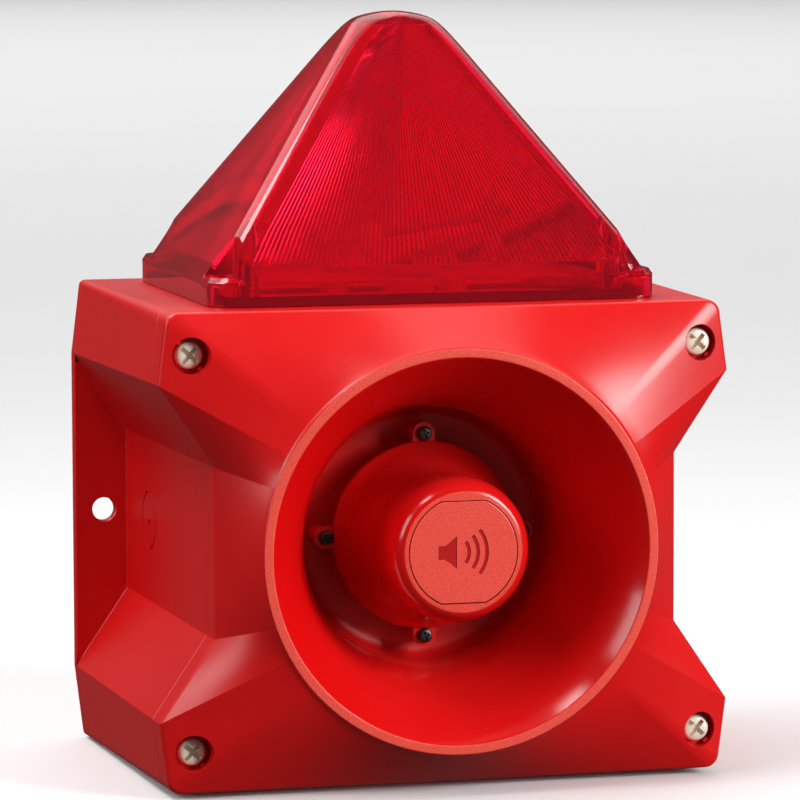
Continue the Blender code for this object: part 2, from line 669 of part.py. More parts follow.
def lens_rings(inset, foot):
    """Upright foot, four straight slopes and a round crown."""
    slope_height = LENS_APEX - LENS_SHOULDER
    rings = []
    for z in (foot, LENS_SHOULDER - inset):
        rings.append(rounded_rectangle(LENS_HALF - inset, LENS_HALF_DEPTH - inset, 8.5 * mm - inset, z))
    for drop, radius in ((83.0, 6.0), (9.5, 7.5), (4.5, 8.5), (1.5, 9.0), (0.3, 9.0)):
        height = LENS_TOP - drop * mm
        share = (LENS_APEX - height) / slope_height
        fall = min(drop * mm, CROWN_RADIUS)
        dome = LENS_HALF if fall == CROWN_RADIUS else math.sqrt(2 * CROWN_RADIUS * fall - fall * fall)
        half_x = min(LENS_HALF * share, dome) - 1.15 * inset
        half_y = min(LENS_HALF_DEPTH * share, dome) - 1.1 * inset
        rings.append(rounded_rectangle(max(half_x, 1 * mm), max(half_y, 1 * mm), radius * mm - 0.5 * inset,
                                       height - (inset if drop < 5.0 else 0.0)))
    return rings


def leaning_columns(x, depths, radius, low, high, count):
    """Four upright columns that lean with the lens."""
    bm = bmesh.new()
    for side in (-1, 1):
        for depth in depths:
            rod(bm, radius, low, high, (side * x, -depth, 0), "Z", count)
    lean(bm)
    return bm


def make_lens(mats):
    bm = bmesh.new()
    add_rings(bm, lens_rings(0.0, LENS_FOOT))
    lean(bm)
    lens = to_object("lens", bm, mats["lens"])
    bm = leaning_columns(POCKET_X, POCKET_DEPTHS, POCKET_RADIUS, POCKET_FLOOR, 135 * mm, 24)
    boolean(lens, to_object("guide_pockets", bm, None), "DIFFERENCE")

    bm = bmesh.new()
    add_rings(bm, lens_rings(LENS_WALL, LENS_FOOT - 5 * mm))
    lean(bm)
    hollow = to_object("guide_lens_hollow", bm, None)
    outer = POCKET_RADIUS + LENS_WALL
    bm = leaning_columns(POCKET_X, POCKET_DEPTHS, outer, POCKET_FLOOR - LENS_WALL, 150 * mm, 24)
    boolean(hollow, to_object("guide_pocket_walls", bm, None), "DIFFERENCE")
    bm = leaning_columns(TOWER_X, TOWER_DEPTHS, TOWER_RADIUS, LENS_FOOT, 150 * mm, 16)
    boolean(hollow, to_object("guide_towers", bm, None), "DIFFERENCE")
    boolean(lens, hollow, "DIFFERENCE")

    bm = leaning_columns(TOWER_X, TOWER_DEPTHS, TOWER_BORE, LENS_FOOT - 4 * mm, LENS_FOOT + 15 * mm, 12)
    boolean(lens, to_object("guide_tower_bores", bm, None), "DIFFERENCE")


def make_lens_gasket(mats):
    gap = LENS_WALL + CLEAR
    rings = []
    for inset, z in ((gap, 0.0), (gap, 3.2 * mm), (gap + 3.6 * mm, 3.2 * mm), (gap + 3.6 * mm, 0.0)):
        rings.append(rounded_rectangle(LENS_HALF - inset, LENS_HALF_DEPTH - inset, 8.5 * mm - 0.7 * inset,
                                       LENS_FOOT + z))
    bm = bmesh.new()
    add_rings(bm, rings, closed=True)
    lean(bm)
    to_object("lens_gasket", bm, mats["rubber"])


def make_lens_screws(mats):
    names = (("back_left", -1, 0), ("back_right", 1, 0), ("front_left", -1, 1), ("front_right", 1, 1))
    for name, side, index in names:
        depth = TOWER_DEPTHS[index]
        seat = HALF_HEIGHT + DRAFT * (FRONT_EDGE - depth) - WALL - 2 * CLEAR
        profile = in_mm(((1.6, 15), (1.6, 0), (3.0, 0), (3.0, -2)))
        place = (side * TOWER_X, -depth, seat)
        turned_part("lens_screw_" + name, profile, mats["screw"], None, place, "Z", 12)


def make_strobe(mats):
    base = LENS_FOOT
    bm = bmesh.new()
    add_box(bm, (-56 * mm, -112 * mm, base), (56 * mm, -28 * mm, base + 2.4 * mm))
    lean(bm)
    plate = to_object("strobe_plate", bm, mats["white"])
    bm = bmesh.new()
    for x in (-40, 40):
        for depth in (45, 95):
            rod(bm, 3.0 * mm, 76.0 * mm, base + 1.2 * mm, (x * mm, -depth * mm, 0), "Z", 12)
    boolean(plate, to_object("guide_plate_legs", bm, None), "UNION")
    make_flash_tube(mats, base + 3.8 * mm)
    box_part("strobe_board", (-45 * mm, -100 * mm, 74.0 * mm), (45 * mm, -40 * mm, 75.6 * mm), mats["board"])
    can = in_mm(((8.6, 0), (9.0, 0.6), (9.0, 36), (8.2, 36.8)))
    turned_part("flash_capacitor", can, mats["black"], None, (-30 * mm, -70 * mm, 64.4 * mm), "X", 24)


def make_flash_tube(mats, foot):
    """Straight glass tube with pinched ends, its two holders and its trigger coil."""
    y = -LENS_MIDDLE
    axis = foot + 18 * mm
    bm = bmesh.new()
    add_turned(bm, in_mm(((1.0, -30), (2.6, -28), (2.6, 28), (1.0, 30))), (0, y, axis), "X", 16)
    to_object("xenon_tube", bm, mats["glass"])
    half_x, half_y, height = 3.5 * mm, 6 * mm, 23 * mm
    for name, x in (("left", -22 * mm), ("right", 22 * mm)):
        low = (x - half_x, y - half_y, foot)
        high = (x + half_x, y + half_y, foot + height)
        holder = box_part("tube_holder_" + name, low, high, mats["white"])
        bm = bmesh.new()
        rod(bm, 2.9 * mm, x - 5 * mm, x + 5 * mm, (0, y, axis), "X", 16)
        boolean(holder, to_object("guide_tube_hole_" + name, bm, None), "DIFFERENCE")
    low, high = (-8 * mm, y - 26 * mm, foot), (8 * mm, y - 16 * mm, foot + 9 * mm)
    box_part("trigger_coil", low, high, mats["white"])


def main():
    clear_scene()
    mats = make_materials()
    cover_body = empty("front_cover_body", (0.0, -COVER_BACK, 0.0))
    diaphragm_body = empty("diaphragm_body", (0.0, -81 * mm, 0.0))
    make_rear_housing(mats)
    make_front_cover(mats, cover_body)
    make_cover_gasket(mats)
    make_cover_screws(mats, cover_body)
    make_horn_plug(mats, cover_body)
    make_driver(mats, cover_body, diaphragm_body)
    make_main_board(mats)
    make_lens(mats)
    make_lens_gasket(mats)
    make_lens_screws(mats)
    make_strobe(mats)


main()
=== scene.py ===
# Looks of a red wall-mounted horn strobe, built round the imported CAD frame.
# Lengths in the dictionaries are millimetres: x to the right, depth out from the wall, z up.
import json
import math

import bmesh
import bpy
from mathutils import Matrix, Vector


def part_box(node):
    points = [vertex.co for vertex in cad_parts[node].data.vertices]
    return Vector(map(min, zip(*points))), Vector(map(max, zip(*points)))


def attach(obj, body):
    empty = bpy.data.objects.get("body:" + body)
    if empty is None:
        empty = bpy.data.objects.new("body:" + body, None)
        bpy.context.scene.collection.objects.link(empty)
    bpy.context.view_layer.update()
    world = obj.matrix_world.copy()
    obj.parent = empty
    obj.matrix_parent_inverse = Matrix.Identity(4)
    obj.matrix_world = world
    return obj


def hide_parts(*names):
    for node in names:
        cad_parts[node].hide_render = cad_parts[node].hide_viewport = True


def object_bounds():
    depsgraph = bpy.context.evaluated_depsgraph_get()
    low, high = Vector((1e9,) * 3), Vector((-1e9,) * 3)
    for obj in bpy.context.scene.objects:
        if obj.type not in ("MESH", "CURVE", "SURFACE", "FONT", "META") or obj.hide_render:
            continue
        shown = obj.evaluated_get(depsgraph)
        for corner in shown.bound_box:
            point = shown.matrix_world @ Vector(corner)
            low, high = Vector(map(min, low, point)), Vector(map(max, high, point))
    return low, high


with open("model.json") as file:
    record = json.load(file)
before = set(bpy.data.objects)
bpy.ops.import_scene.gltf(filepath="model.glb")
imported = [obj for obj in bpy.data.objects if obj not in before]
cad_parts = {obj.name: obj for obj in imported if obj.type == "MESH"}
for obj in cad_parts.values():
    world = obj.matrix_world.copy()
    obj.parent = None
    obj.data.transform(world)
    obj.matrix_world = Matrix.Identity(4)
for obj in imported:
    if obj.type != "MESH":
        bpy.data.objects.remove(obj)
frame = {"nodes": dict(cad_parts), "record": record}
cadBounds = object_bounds()
millimetre = 0.001
print("frame loaded:", len(frame["nodes"]), "nodes")


def frameBox(node):
    # a node's corners in millimetres
    low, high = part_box(node)
    return low / millimetre, high / millimetre


housingFront = -frameBox("rear_housing")[0].y
rimDepth = -frameBox("front_cover")[0].y

boxShape = {
    "draft": 0.0115,            # the box grows towards the wall by this slope
    "frontEdge": 140.5,         # depth of the front outline
    "corner": (99.39, 83.2),    # outline corners of the upper right quarter, as x and z
    "tab": (102.7, 58.5),
    "recess": (83.2, 29.9),
    "cornerRadius": 4.8,
    "tabRadius": 0.6,
    "recessRadius": 1.2,
    "arcSteps": 6,
    "stepDegrees": 2.0,         # longest step round the horn's axis
    "wall": 3.0,
    "backWall": 4.5,
    "edgeRadius": 1.5,
}


# general mesh helpers

def ringLoft(rings, closed=False):
    # rings of equal count joined to a solid; the ends are capped unless the rings form a loop
    bm = bmesh.new()
    layers = [[bm.verts.new(Vector(point) * millimetre) for point in ring] for ring in rings]
    pairs = list(zip(layers, layers[1:]))
    if closed:
        pairs.append((layers[-1], layers[0]))
    for low, high in pairs:
        for i in range(len(low)):
            j = (i + 1) % len(low)
            bm.faces.new((low[i], low[j], high[j], high[i]))
    if not closed:
        bm.faces.new(layers[0])
        bm.faces.new(layers[-1])
    return bm


def turnedRings(profile, centre=(0, 0, 0), axis="Y", count=64):
    # (radius, distance) points turned round an axis; a distance along Y is a depth
    rings = []
    for radius, along in profile:
        ring = []
        for i in range(count):
            angle = 2 * math.pi * i / count
            u = radius * math.cos(angle)
            v = radius * math.sin(angle)
            point = {"X": (along, u, v), "Y": (u, -along, v), "Z": (u, v, along)}[axis]
            ring.append(Vector(point) + Vector(centre))
        rings.append(ring)
    return rings


def turned(profile, centre=(0, 0, 0), axis="Y", count=64, closed=False):
    return ringLoft(turnedRings(profile, centre, axis, count), closed)


def rod(radius, start, end, centre=(0, 0, 0), axis="Y", count=32):
    return turned([(radius, start), (radius, end)], centre, axis, count)


def block(low, high):
    corners = [(low[0], low[1]), (high[0], low[1]), (high[0], high[1]), (low[0], high[1])]
    return ringLoft([[(x, y, z) for x, y in corners] for z in (low[2], high[2])])


def curveBetween(first, bend, last, steps):
    # rings along a quadratic curve, point by point, without its two ends
    rings = []
    for k in range(1, steps):
        t = k / steps
        ring = []
        for a, b, c in zip(first, bend, last):
            ring.append(Vector(a) * (1 - t) ** 2 + Vector(b) * 2 * t * (1 - t) + Vector(c) * t * t)
        rings.append(ring)
    return rings


def lerpRings(first, last, shares):
    return [[Vector(a).lerp(Vector(b), t) for a, b in zip(first, last)] for t in shares]


def joined(parts):
    # several closed meshes in one
    whole = bmesh.new()
    for part in parts:
        mesh = meshOf(part)
        whole.from_mesh(mesh)
        bpy.data.meshes.remove(mesh)
    return whole


def meshOf(bm, name="scratch"):
    bmesh.ops.remove_doubles(bm, verts=bm.verts, dist=0.002 * millimetre)
    bmesh.ops.recalc_face_normals(bm, faces=bm.faces)
    mesh = bpy.data.meshes.new(name)
    bm.to_mesh(mesh)
    bm.free()
    return mesh


def evaluatedMesh(thing):
    graph = bpy.context.evaluated_depsgraph_get()
    return bpy.data.meshes.new_from_object(thing.evaluated_get(graph))


def sceneObject(name, mesh):
    thing = bpy.data.objects.new(name, mesh)
    bpy.context.scene.collection.objects.link(thing)
    return thing


def carved(bm, steps):
    # a mesh after a list of (operation, tool mesh) steps
    body = sceneObject("carving", meshOf(bm))
    tools = []
    for operation, tool in steps:
        cutter = sceneObject("tool", meshOf(tool))
        modifier = body.modifiers.new(operation, "BOOLEAN")
        modifier.operation = operation
        modifier.solver = "EXACT"
        modifier.object = cutter
        tools.append(cutter)
    mesh = evaluatedMesh(body)
    result = bmesh.new()
    result.from_mesh(mesh)
    for thing in [body] + tools:
        bpy.data.objects.remove(thing)
    bpy.data.meshes.remove(mesh)
    return result


def finishPiece(name, bm, body, finish, nodes, sharpDegrees=28):
    # closes a mesh, shades it and hands it to the frame
    mesh = meshOf(bm, name)
    piece = sceneObject(name, mesh)
    mesh.materials.append(finishes[finish])
    mesh.shade_smooth()
    mesh.set_sharp_from_angle(angle=math.radians(sharpDegrees))
    modifier = piece.modifiers.new("flats", "WEIGHTED_NORMAL")
    modifier.keep_sharp = True
    shaded = evaluatedMesh(piece)
    piece.modifiers.clear()
    piece.data = shaded
    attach(piece, body)
    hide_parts(*nodes)


# finishes

def addNode(tree, kind, inputs=None, **settings):
    node = tree.nodes.new(kind)
    for key, value in settings.items():
        setattr(node, key, value)
    for key, value in (inputs or {}).items():
        node.inputs[key].default_value = value
    return node


def groupOf(name, inputs, outputs):
    group = bpy.data.node_groups.new(name, "ShaderNodeTree")
    for label, kind, value in inputs:
        socket = group.interface.new_socket(name=label, in_out="INPUT", socket_type=kind)
        socket.default_value = value
    for label, kind in outputs:
        group.interface.new_socket(name=label, in_out="OUTPUT", socket_type=kind)
    start = addNode(group, "NodeGroupInput")
    end = addNode(group, "NodeGroupOutput")
    return group, start, end


def makeGrainGroup():
    # spark-eroded mould grain: a fine pebble height and a slow mottle for colour and roughness
    group, start, end = groupOf(
        "mouldGrain",
        [("Grain Scale", "NodeSocketFloat", 1500.0), ("Mottle Scale", "NodeSocketFloat", 28.0),
         ("Low", "NodeSocketFloat", 0.34), ("High", "NodeSocketFloat", 0.42)],
        [("Height", "NodeSocketFloat"), ("Roughness", "NodeSocketFloat"), ("Mottle", "NodeSocketFloat")])
    place = addNode(group, "ShaderNodeTexCoord")
    pebbles = addNode(group, "ShaderNodeTexNoise", {"Detail": 3.0, "Roughness": 0.55})
    clouds = addNode(group, "ShaderNodeTexNoise", {"Detail": 5.0, "Roughness": 0.6})
    spread = addNode(group, "ShaderNodeMapRange", {"From Min": 0.3, "From Max": 0.7})
    link = group.links.new
    for texture, scale in ((pebbles, "Grain Scale"), (clouds, "Mottle Scale")):
        link(place.outputs["Object"], texture.inputs["Vector"])
        link(start.outputs[scale], texture.inputs["Scale"])
    link(clouds.outputs["Fac"], spread.inputs["Value"])
    link(start.outputs["Low"], spread.inputs["To Min"])
    link(start.outputs["High"], spread.inputs["To Max"])
    link(pebbles.outputs["Fac"], end.inputs["Height"])
    link(spread.outputs["Result"], end.inputs["Roughness"])
    link(clouds.outputs["Fac"], end.inputs["Mottle"])
    return group


def makeDustGroup():
    # a thin film of dust that lies on upward faces, broken up by clouds
    group, start, end = groupOf("settledDust", [("Amount", "NodeSocketFloat", 0.1)],
                                [("Mask", "NodeSocketFloat")])
    surface = addNode(group, "ShaderNodeNewGeometry")
    place = addNode(group, "ShaderNodeTexCoord")
    split = addNode(group, "ShaderNodeSeparateXYZ")
    upward = addNode(group, "ShaderNodeMapRange", {"From Min": 0.35, "From Max": 1.0})
    clouds = addNode(group, "ShaderNodeTexNoise", {"Scale": 60.0, "Detail": 6.0, "Roughness": 0.65})
    patchy = addNode(group, "ShaderNodeMath", operation="MULTIPLY")
    strength = addNode(group, "ShaderNodeMath", operation="MULTIPLY")
    link = group.links.new
    link(surface.outputs["Normal"], split.inputs["Vector"])
    link(split.outputs["Z"], upward.inputs["Value"])
    link(place.outputs["Object"], clouds.inputs["Vector"])
    link(upward.outputs["Result"], patchy.inputs[0])
    link(clouds.outputs["Fac"], patchy.inputs[1])
    link(patchy.outputs["Value"], strength.inputs[0])
    link(start.outputs["Amount"], strength.inputs[1])
    link(strength.outputs["Value"], end.inputs["Mask"])
    return group


grainGroup = makeGrainGroup()
dustGroup = makeDustGroup()

finishLook = {
    # base colour, deep colour, low and high roughness, grain scale per metre, grain depth in mm
    "red_plastic": dict(base=(0.72, 0.0045, 0.0050), deep=(0.64, 0.0030, 0.0036), rough=(0.30, 0.36),
                        grain=1900, depth=0.016, dust=0.02, crest=(0.90, 0.085, 0.055),
                        polish=0.16, polishRadius=67.3, polishStart=117.0),
    "badge_plastic": dict(base=(0.52, 0.0030, 0.0040), deep=(0.46, 0.0020, 0.0030), rough=(0.30, 0.36),
                          grain=1900, depth=0.010, dust=0.0, crest=(0.90, 0.080, 0.055)),
    # plated_steel: the plating's own warm tint, raised to a bright diffuse cream with little metal, partly a
    # painted reflection of bright surroundings
    "plated_steel": dict(base=(0.93, 0.85, 0.72), deep=(0.84, 0.76, 0.63), rough=(0.38, 0.48),
                         grain=900, depth=0.006, dust=0.0, metal=0.15),
    "black_rubber": dict(base=(0.028, 0.006, 0.006), deep=(0.018, 0.004, 0.004), rough=(0.55, 0.7),
                         grain=1200, depth=0.02, dust=0.0),
    "red_silicone": dict(base=(0.16, 0.010, 0.010), deep=(0.10, 0.006, 0.006), rough=(0.5, 0.65),
                         grain=900, depth=0.01, dust=0.0),
    "brass": dict(base=(0.78, 0.56, 0.25), deep=(0.66, 0.45, 0.19), rough=(0.22, 0.36),
                  grain=700, depth=0.004, dust=0.0, metal=1.0),
    "black_plastic": dict(base=(0.022, 0.022, 0.024), deep=(0.014, 0.014, 0.015), rough=(0.38, 0.5),
                          grain=1500, depth=0.012, dust=0.05),
    "white_plastic": dict(base=(0.80, 0.79, 0.76), deep=(0.72, 0.71, 0.67), rough=(0.34, 0.42),
                          grain=1500, depth=0.006, dust=0.05),
    "ferrite": dict(base=(0.055, 0.055, 0.06), deep=(0.035, 0.035, 0.04), rough=(0.6, 0.75),
                    grain=800, depth=0.03, dust=0.0),
    # zinc_steel: base colour darkened far below bare zinc, painted shade so that the screws in the horn's
    # dark throat sink into it
    "zinc_steel": dict(base=(0.09, 0.085, 0.08), deep=(0.06, 0.055, 0.055), rough=(0.36, 0.50),
                       grain=900, depth=0.005, dust=0.0, metal=1.0),
    "copper_wire": dict(base=(0.72, 0.30, 0.13), deep=(0.52, 0.18, 0.07), rough=(0.25, 0.38),
                        grain=1200, depth=0.02, dust=0.0, metal=0.9),
    "polymer_film": dict(base=(0.72, 0.62, 0.40), deep=(0.64, 0.52, 0.30), rough=(0.25, 0.35),
                         grain=400, depth=0.01, dust=0.0),
    "circuit_board": dict(base=(0.020, 0.150, 0.060), deep=(0.012, 0.100, 0.040), rough=(0.3, 0.4),
                          grain=600, depth=0.008, dust=0.05),
    "green_plastic": dict(base=(0.030, 0.280, 0.100), deep=(0.022, 0.210, 0.075), rough=(0.4, 0.5),
                          grain=1400, depth=0.012, dust=0.05),
    "blue_plastic": dict(base=(0.020, 0.070, 0.320), deep=(0.014, 0.050, 0.240), rough=(0.3, 0.4),
                         grain=900, depth=0.006, dust=0.05),
}


def mathNode(tree, operation, first, second=None):
    node = addNode(tree, "ShaderNodeMath", operation=operation)
    for socket, value in zip(node.inputs, (first, second)):
        if isinstance(value, (int, float)):
            socket.default_value = value
        elif value is not None:
            tree.links.new(value, socket)
    return node.outputs[0]


def addCrest(tree, colour, height, look):
    # faces on the object's front plane carry a coarse grain and a paler red
    place = addNode(tree, "ShaderNodeTexCoord")
    split = addNode(tree, "ShaderNodeSeparateXYZ")
    front = (0.05 - rimDepth) * millimetre
    mask = addNode(tree, "ShaderNodeMapRange", {"From Min": front + 0.07 * millimetre, "From Max": front})
    coarse = addNode(tree, "ShaderNodeTexNoise", {"Scale": 2500.0, "Detail": 2.0, "Roughness": 0.6})
    speckle = addNode(tree, "ShaderNodeMapRange",
                      {"From Min": 0.35, "From Max": 0.65, "To Min": 0.78, "To Max": 1.12})
    tone = addNode(tree, "ShaderNodeMix", data_type="RGBA", blend_type="MULTIPLY")
    tone.inputs["Factor"].default_value = 1.0
    tone.inputs["A"].default_value = (*look["crest"], 1.0)
    blend = addNode(tree, "ShaderNodeMix", data_type="RGBA")
    raised = mathNode(tree, "MULTIPLY", coarse.outputs["Fac"], mask.outputs["Result"])
    coarseShare = 5.0           # times the height of the fine grain
    total = mathNode(tree, "ADD", mathNode(tree, "MULTIPLY", raised, coarseShare), height)
    link = tree.links.new
    link(place.outputs["Object"], split.inputs["Vector"])
    link(split.outputs["Y"], mask.inputs["Value"])
    link(place.outputs["Object"], coarse.inputs["Vector"])
    link(coarse.outputs["Fac"], speckle.inputs["Value"])
    link(speckle.outputs["Result"], tone.inputs["B"])
    link(mask.outputs["Result"], blend.inputs["Factor"])
    link(colour, blend.inputs["A"])
    link(tone.outputs["Result"], blend.inputs["B"])
    return blend.outputs["Result"], total


def addPolish(tree, rough, look):
    # inside the horn's mouth the mould was polished
    place = addNode(tree, "ShaderNodeTexCoord")
    split = addNode(tree, "ShaderNodeSeparateXYZ")
    tree.links.new(place.outputs["Object"], split.inputs["Vector"])
    squareX = mathNode(tree, "MULTIPLY", split.outputs["X"], split.outputs["X"])
    squareZ = mathNode(tree, "MULTIPLY", split.outputs["Z"], split.outputs["Z"])
    radius = mathNode(tree, "SQRT", mathNode(tree, "ADD", squareX, squareZ))
    inside = mathNode(tree, "LESS_THAN", radius, look["polishRadius"] * millimetre)
    ahead = mathNode(tree, "LESS_THAN", split.outputs["Y"], look["polishStart"] * -millimetre)
    drop = mathNode(tree, "MULTIPLY", mathNode(tree, "MULTIPLY", inside, ahead), look["polish"])
    return mathNode(tree, "SUBTRACT", rough, drop)


def solidFinish(name, look):
    material = bpy.data.materials.new(name)
    material.use_nodes = True
    tree = material.node_tree
    shader = tree.nodes["Principled BSDF"]
    shader.inputs["Metallic"].default_value = look.get("metal", 0.0)
    grain = addNode(tree, "ShaderNodeGroup", node_tree=grainGroup)
    grain.inputs["Grain Scale"].default_value = look["grain"]
    grain.inputs["Low"].default_value = look["rough"][0]
    grain.inputs["High"].default_value = look["rough"][1]
    dust = addNode(tree, "ShaderNodeGroup", node_tree=dustGroup)
    dust.inputs["Amount"].default_value = look["dust"]
    bump = addNode(tree, "ShaderNodeBump", {"Strength": 1.0, "Distance": look["depth"] * millimetre})
    blend = addNode(tree, "ShaderNodeMix", data_type="RGBA")
    blend.inputs["A"].default_value = (*look["deep"], 1.0)
    blend.inputs["B"].default_value = (*look["base"], 1.0)
    veil = addNode(tree, "ShaderNodeMix", data_type="RGBA")
    veil.inputs["B"].default_value = (0.62, 0.48, 0.44, 1.0)
    link = tree.links.new
    link(grain.outputs["Mottle"], blend.inputs["Factor"])
    link(blend.outputs["Result"], veil.inputs["A"])
    link(dust.outputs["Mask"], veil.inputs["Factor"])
    colour, height = veil.outputs["Result"], grain.outputs["Height"]
    if "crest" in look:
        colour, height = addCrest(tree, colour, height, look)
    rough = grain.outputs["Roughness"]
    if "polish" in look:
        rough = addPolish(tree, rough, look)
    link(colour, shader.inputs["Base Color"])
    link(rough, shader.inputs["Roughness"])
    link(height, bump.inputs["Height"])
    link(bump.outputs["Normal"], shader.inputs["Normal"])
    return material


def clearFinish(name, look):
    # polished transparent plastic or glass with a faint moulding ripple
    material = bpy.data.materials.new(name)
    material.use_nodes = True
    tree = material.node_tree
    shader = tree.nodes["Principled BSDF"]
    shader.inputs["Transmission Weight"].default_value = look.get("clear", 1.0)
    shader.inputs["IOR"].default_value = look["ior"]
    grain = addNode(tree, "ShaderNodeGroup", node_tree=grainGroup)
    grain.inputs["Grain Scale"].default_value = 180.0
    grain.inputs["Low"].default_value = look["rough"][0]
    grain.inputs["High"].default_value = look["rough"][1]
    bump = addNode(tree, "ShaderNodeBump", {"Strength": 1.0, "Distance": look["ripple"] * millimetre})
    tint = addNode(tree, "ShaderNodeMix", data_type="RGBA")
    tint.inputs["A"].default_value = (*[c * 0.94 for c in look["base"]], 1.0)
    tint.inputs["B"].default_value = (*look["base"], 1.0)
    link = tree.links.new
    link(grain.outputs["Mottle"], tint.inputs["Factor"])
    link(tint.outputs["Result"], shader.inputs["Base Color"])
    rough = grain.outputs["Roughness"]
    if "inner" in look:
        rough = innerRoughness(tree, rough, look["inner"])
    link(rough, shader.inputs["Roughness"])
    link(grain.outputs["Height"], bump.inputs["Height"])
    link(bump.outputs["Normal"], shader.inputs["Normal"])
    return material


def innerRoughness(tree, outer, inner):
    # the ribbed inside of the lens is finer and duller than its polished outside
    place = addNode(tree, "ShaderNodeTexCoord")
    split = addNode(tree, "ShaderNodeSeparateXYZ")
    tree.links.new(place.outputs["Object"], split.inputs["Vector"])
    low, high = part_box("lens")
    apex = lensApex * millimetre
    share = mathNode(tree, "MINIMUM", 1.0, mathNode(tree, "DIVIDE", mathNode(
        tree, "SUBTRACT", apex, split.outputs["Z"]), (lensApex - lensShoulder) * millimetre))
    middle = (low.y + high.y) / 2
    acrossX = mathNode(tree, "ABSOLUTE", split.outputs["X"])
    acrossY = mathNode(tree, "ABSOLUTE", mathNode(tree, "SUBTRACT", split.outputs["Y"], middle))
    gapX = mathNode(tree, "SUBTRACT", mathNode(tree, "MULTIPLY", share, (high.x - low.x) / 2), acrossX)
    gapY = mathNode(tree, "SUBTRACT", mathNode(tree, "MULTIPLY", share, (high.y - low.y) / 2), acrossY)
    gap = mathNode(tree, "MINIMUM", gapX, gapY)
    deep = mathNode(tree, "GREATER_THAN", gap, 1.6 * millimetre)
    return mathNode(tree, "MAXIMUM", mathNode(tree, "MULTIPLY", deep, inner), outer)


lensShoulder = 92.0
lensApex = 201.6            # where the lens's four slopes would meet
clearLook = {
    "red_lens": dict(base=(0.96, 0.008, 0.045), rough=(0.015, 0.03), ior=1.53, ripple=0.004, inner=0.14,
                     clear=0.88),
    "tube_glass": dict(base=(0.96, 0.97, 0.98), rough=(0.01, 0.03), ior=1.47, ripple=0.002),
}
finishes = {name: solidFinish(name, look) for name, look in finishLook.items()}
finishes.update({name: clearFinish(name, look) for name, look in clearLook.items()})
print("finishes made:", len(finishes))


# the outline of the box, seen from the front

def outlineCorners(grow, filled):
    # (corner, radius) in order round the outline, moved out by grow; filled spans the side recesses
    tabX, tabZ = boxShape["tab"]
    recessX, recessZ = boxShape["recess"]
    cornerX, cornerZ = boxShape["corner"]
    shift = grow * math.tan(math.atan2(tabX - recessX, tabZ - recessZ) / 2)
    if filled:
        recessX = tabX
    bend = grow if grow < 0 else -1.6 * grow        # the corners tighten towards the wall
    quarter = [((cornerX + grow, cornerZ + grow), boxShape["cornerRadius"] + bend),
               ((tabX + grow, tabZ - shift), boxShape["tabRadius"] + min(grow, 0)),
               ((recessX + grow, recessZ - shift), boxShape["recessRadius"] - grow)]
    quarter = [(Vector(place), max(radius, 0.25)) for place, radius in quarter]
    right = quarter + [(Vector((place.x, -place.y)), radius) for place, radius in reversed(quarter)]
    return right + [(Vector((-place.x, place.y)), radius) for place, radius in reversed(right)]


def cornerArc(corners, i, steps):
    place, radius = corners[i]
    back = (corners[i - 1][0] - place).normalized()
    ahead = (corners[(i + 1) % len(corners)][0] - place).normalized()
    middle = back + ahead
    if middle.length < 0.02:        # nearly straight, so the arc shrinks to its corner
        return [place.copy() for k in range(steps + 1)]
    half = back.angle(ahead) / 2
    centre = place + middle.normalized() * radius / math.sin(half)
    start = place + back * radius / math.tan(half) - centre
    end = place + ahead * radius / math.tan(half) - centre
    sweep = start.angle_signed(end)
    points = []
    for k in range(steps + 1):
        angle = -sweep * k / steps
        spun = Vector((start.x * math.cos(angle) - start.y * math.sin(angle),
                       start.x * math.sin(angle) + start.y * math.cos(angle)))
        points.append(centre + spun)
    return points


def runShares():
    # how each straight run is divided, the same at every depth
    corners = outlineCorners(0.0, False)
    arcs = [cornerArc(corners, i, boxShape["arcSteps"]) for i in range(len(corners))]
    counts = []
    for i, arc in enumerate(arcs):
        following = arcs[(i + 1) % len(arcs)]
        span = math.degrees(arc[-1].angle(following[0]))
        counts.append(max(1, math.ceil(span / boxShape["stepDegrees"])))
    return counts


runCounts = runShares()


def outlinePoints(grow=0.0, filled=False):
    corners = outlineCorners(grow, filled)
    arcs = [cornerArc(corners, i, boxShape["arcSteps"]) for i in range(len(corners))]
    points = []
    for i, arc in enumerate(arcs):
        points += arc
        following = arcs[(i + 1) % len(arcs)][0]
        points += [arc[-1].lerp(following, k / runCounts[i]) for k in range(1, runCounts[i])]
    return points


def section(depth, inset=0.0, filled=False):
    grow = boxShape["draft"] * (boxShape["frontEdge"] - depth) - inset
    return [Vector((p.x, -depth, p.y)) for p in outlinePoints(grow, filled)]


basePoints = outlinePoints()


def circleSection(radius, depth):
    # a circle whose points lie at the outline's own angles
    return [Vector((p.x, 0, p.y)).normalized() * radius + Vector((0, -depth, 0)) for p in basePoints]


def fourCorners(x, z):
    return [(sx * x, sz * z) for sx in (-1, 1) for sz in (-1, 1)]


def polar(radius, degrees):
    angle = math.radians(degrees)
    return (radius * math.cos(angle), 0.0, radius * math.sin(angle))


# rear housing

pilotRadius = 1.6           # holes that small screws bite into
lensBore = 2.0              # holes for the lens screws
housingShape = {
    "screwColumn": (91.3, 68.6, 9.3),      # x, z and radius of the columns for the cover screws
    "sleeveBore": 5.3,
    "sleeveFloor": 104.0,
    "boardPost": (52.0, 42.0, 4.0),
    "boardDepth": 14.0,
    "fixingHole": (93.4, 4.3),             # x and radius
    "knockoutDepth": 41.0,
    "knockoutRadius": 10.3,
    "grooveHalf": 0.35,
    "grooveDepth": 0.7,
    "lensScrews": (66.0, (21.0, 117.0)),   # x and depths
    "strobeOpening": (50.0, 35.0, 105.0),
}


def knockoutWall():
    return boxShape["recess"][0] + boxShape["draft"] * (boxShape["frontEdge"] - housingShape["knockoutDepth"])


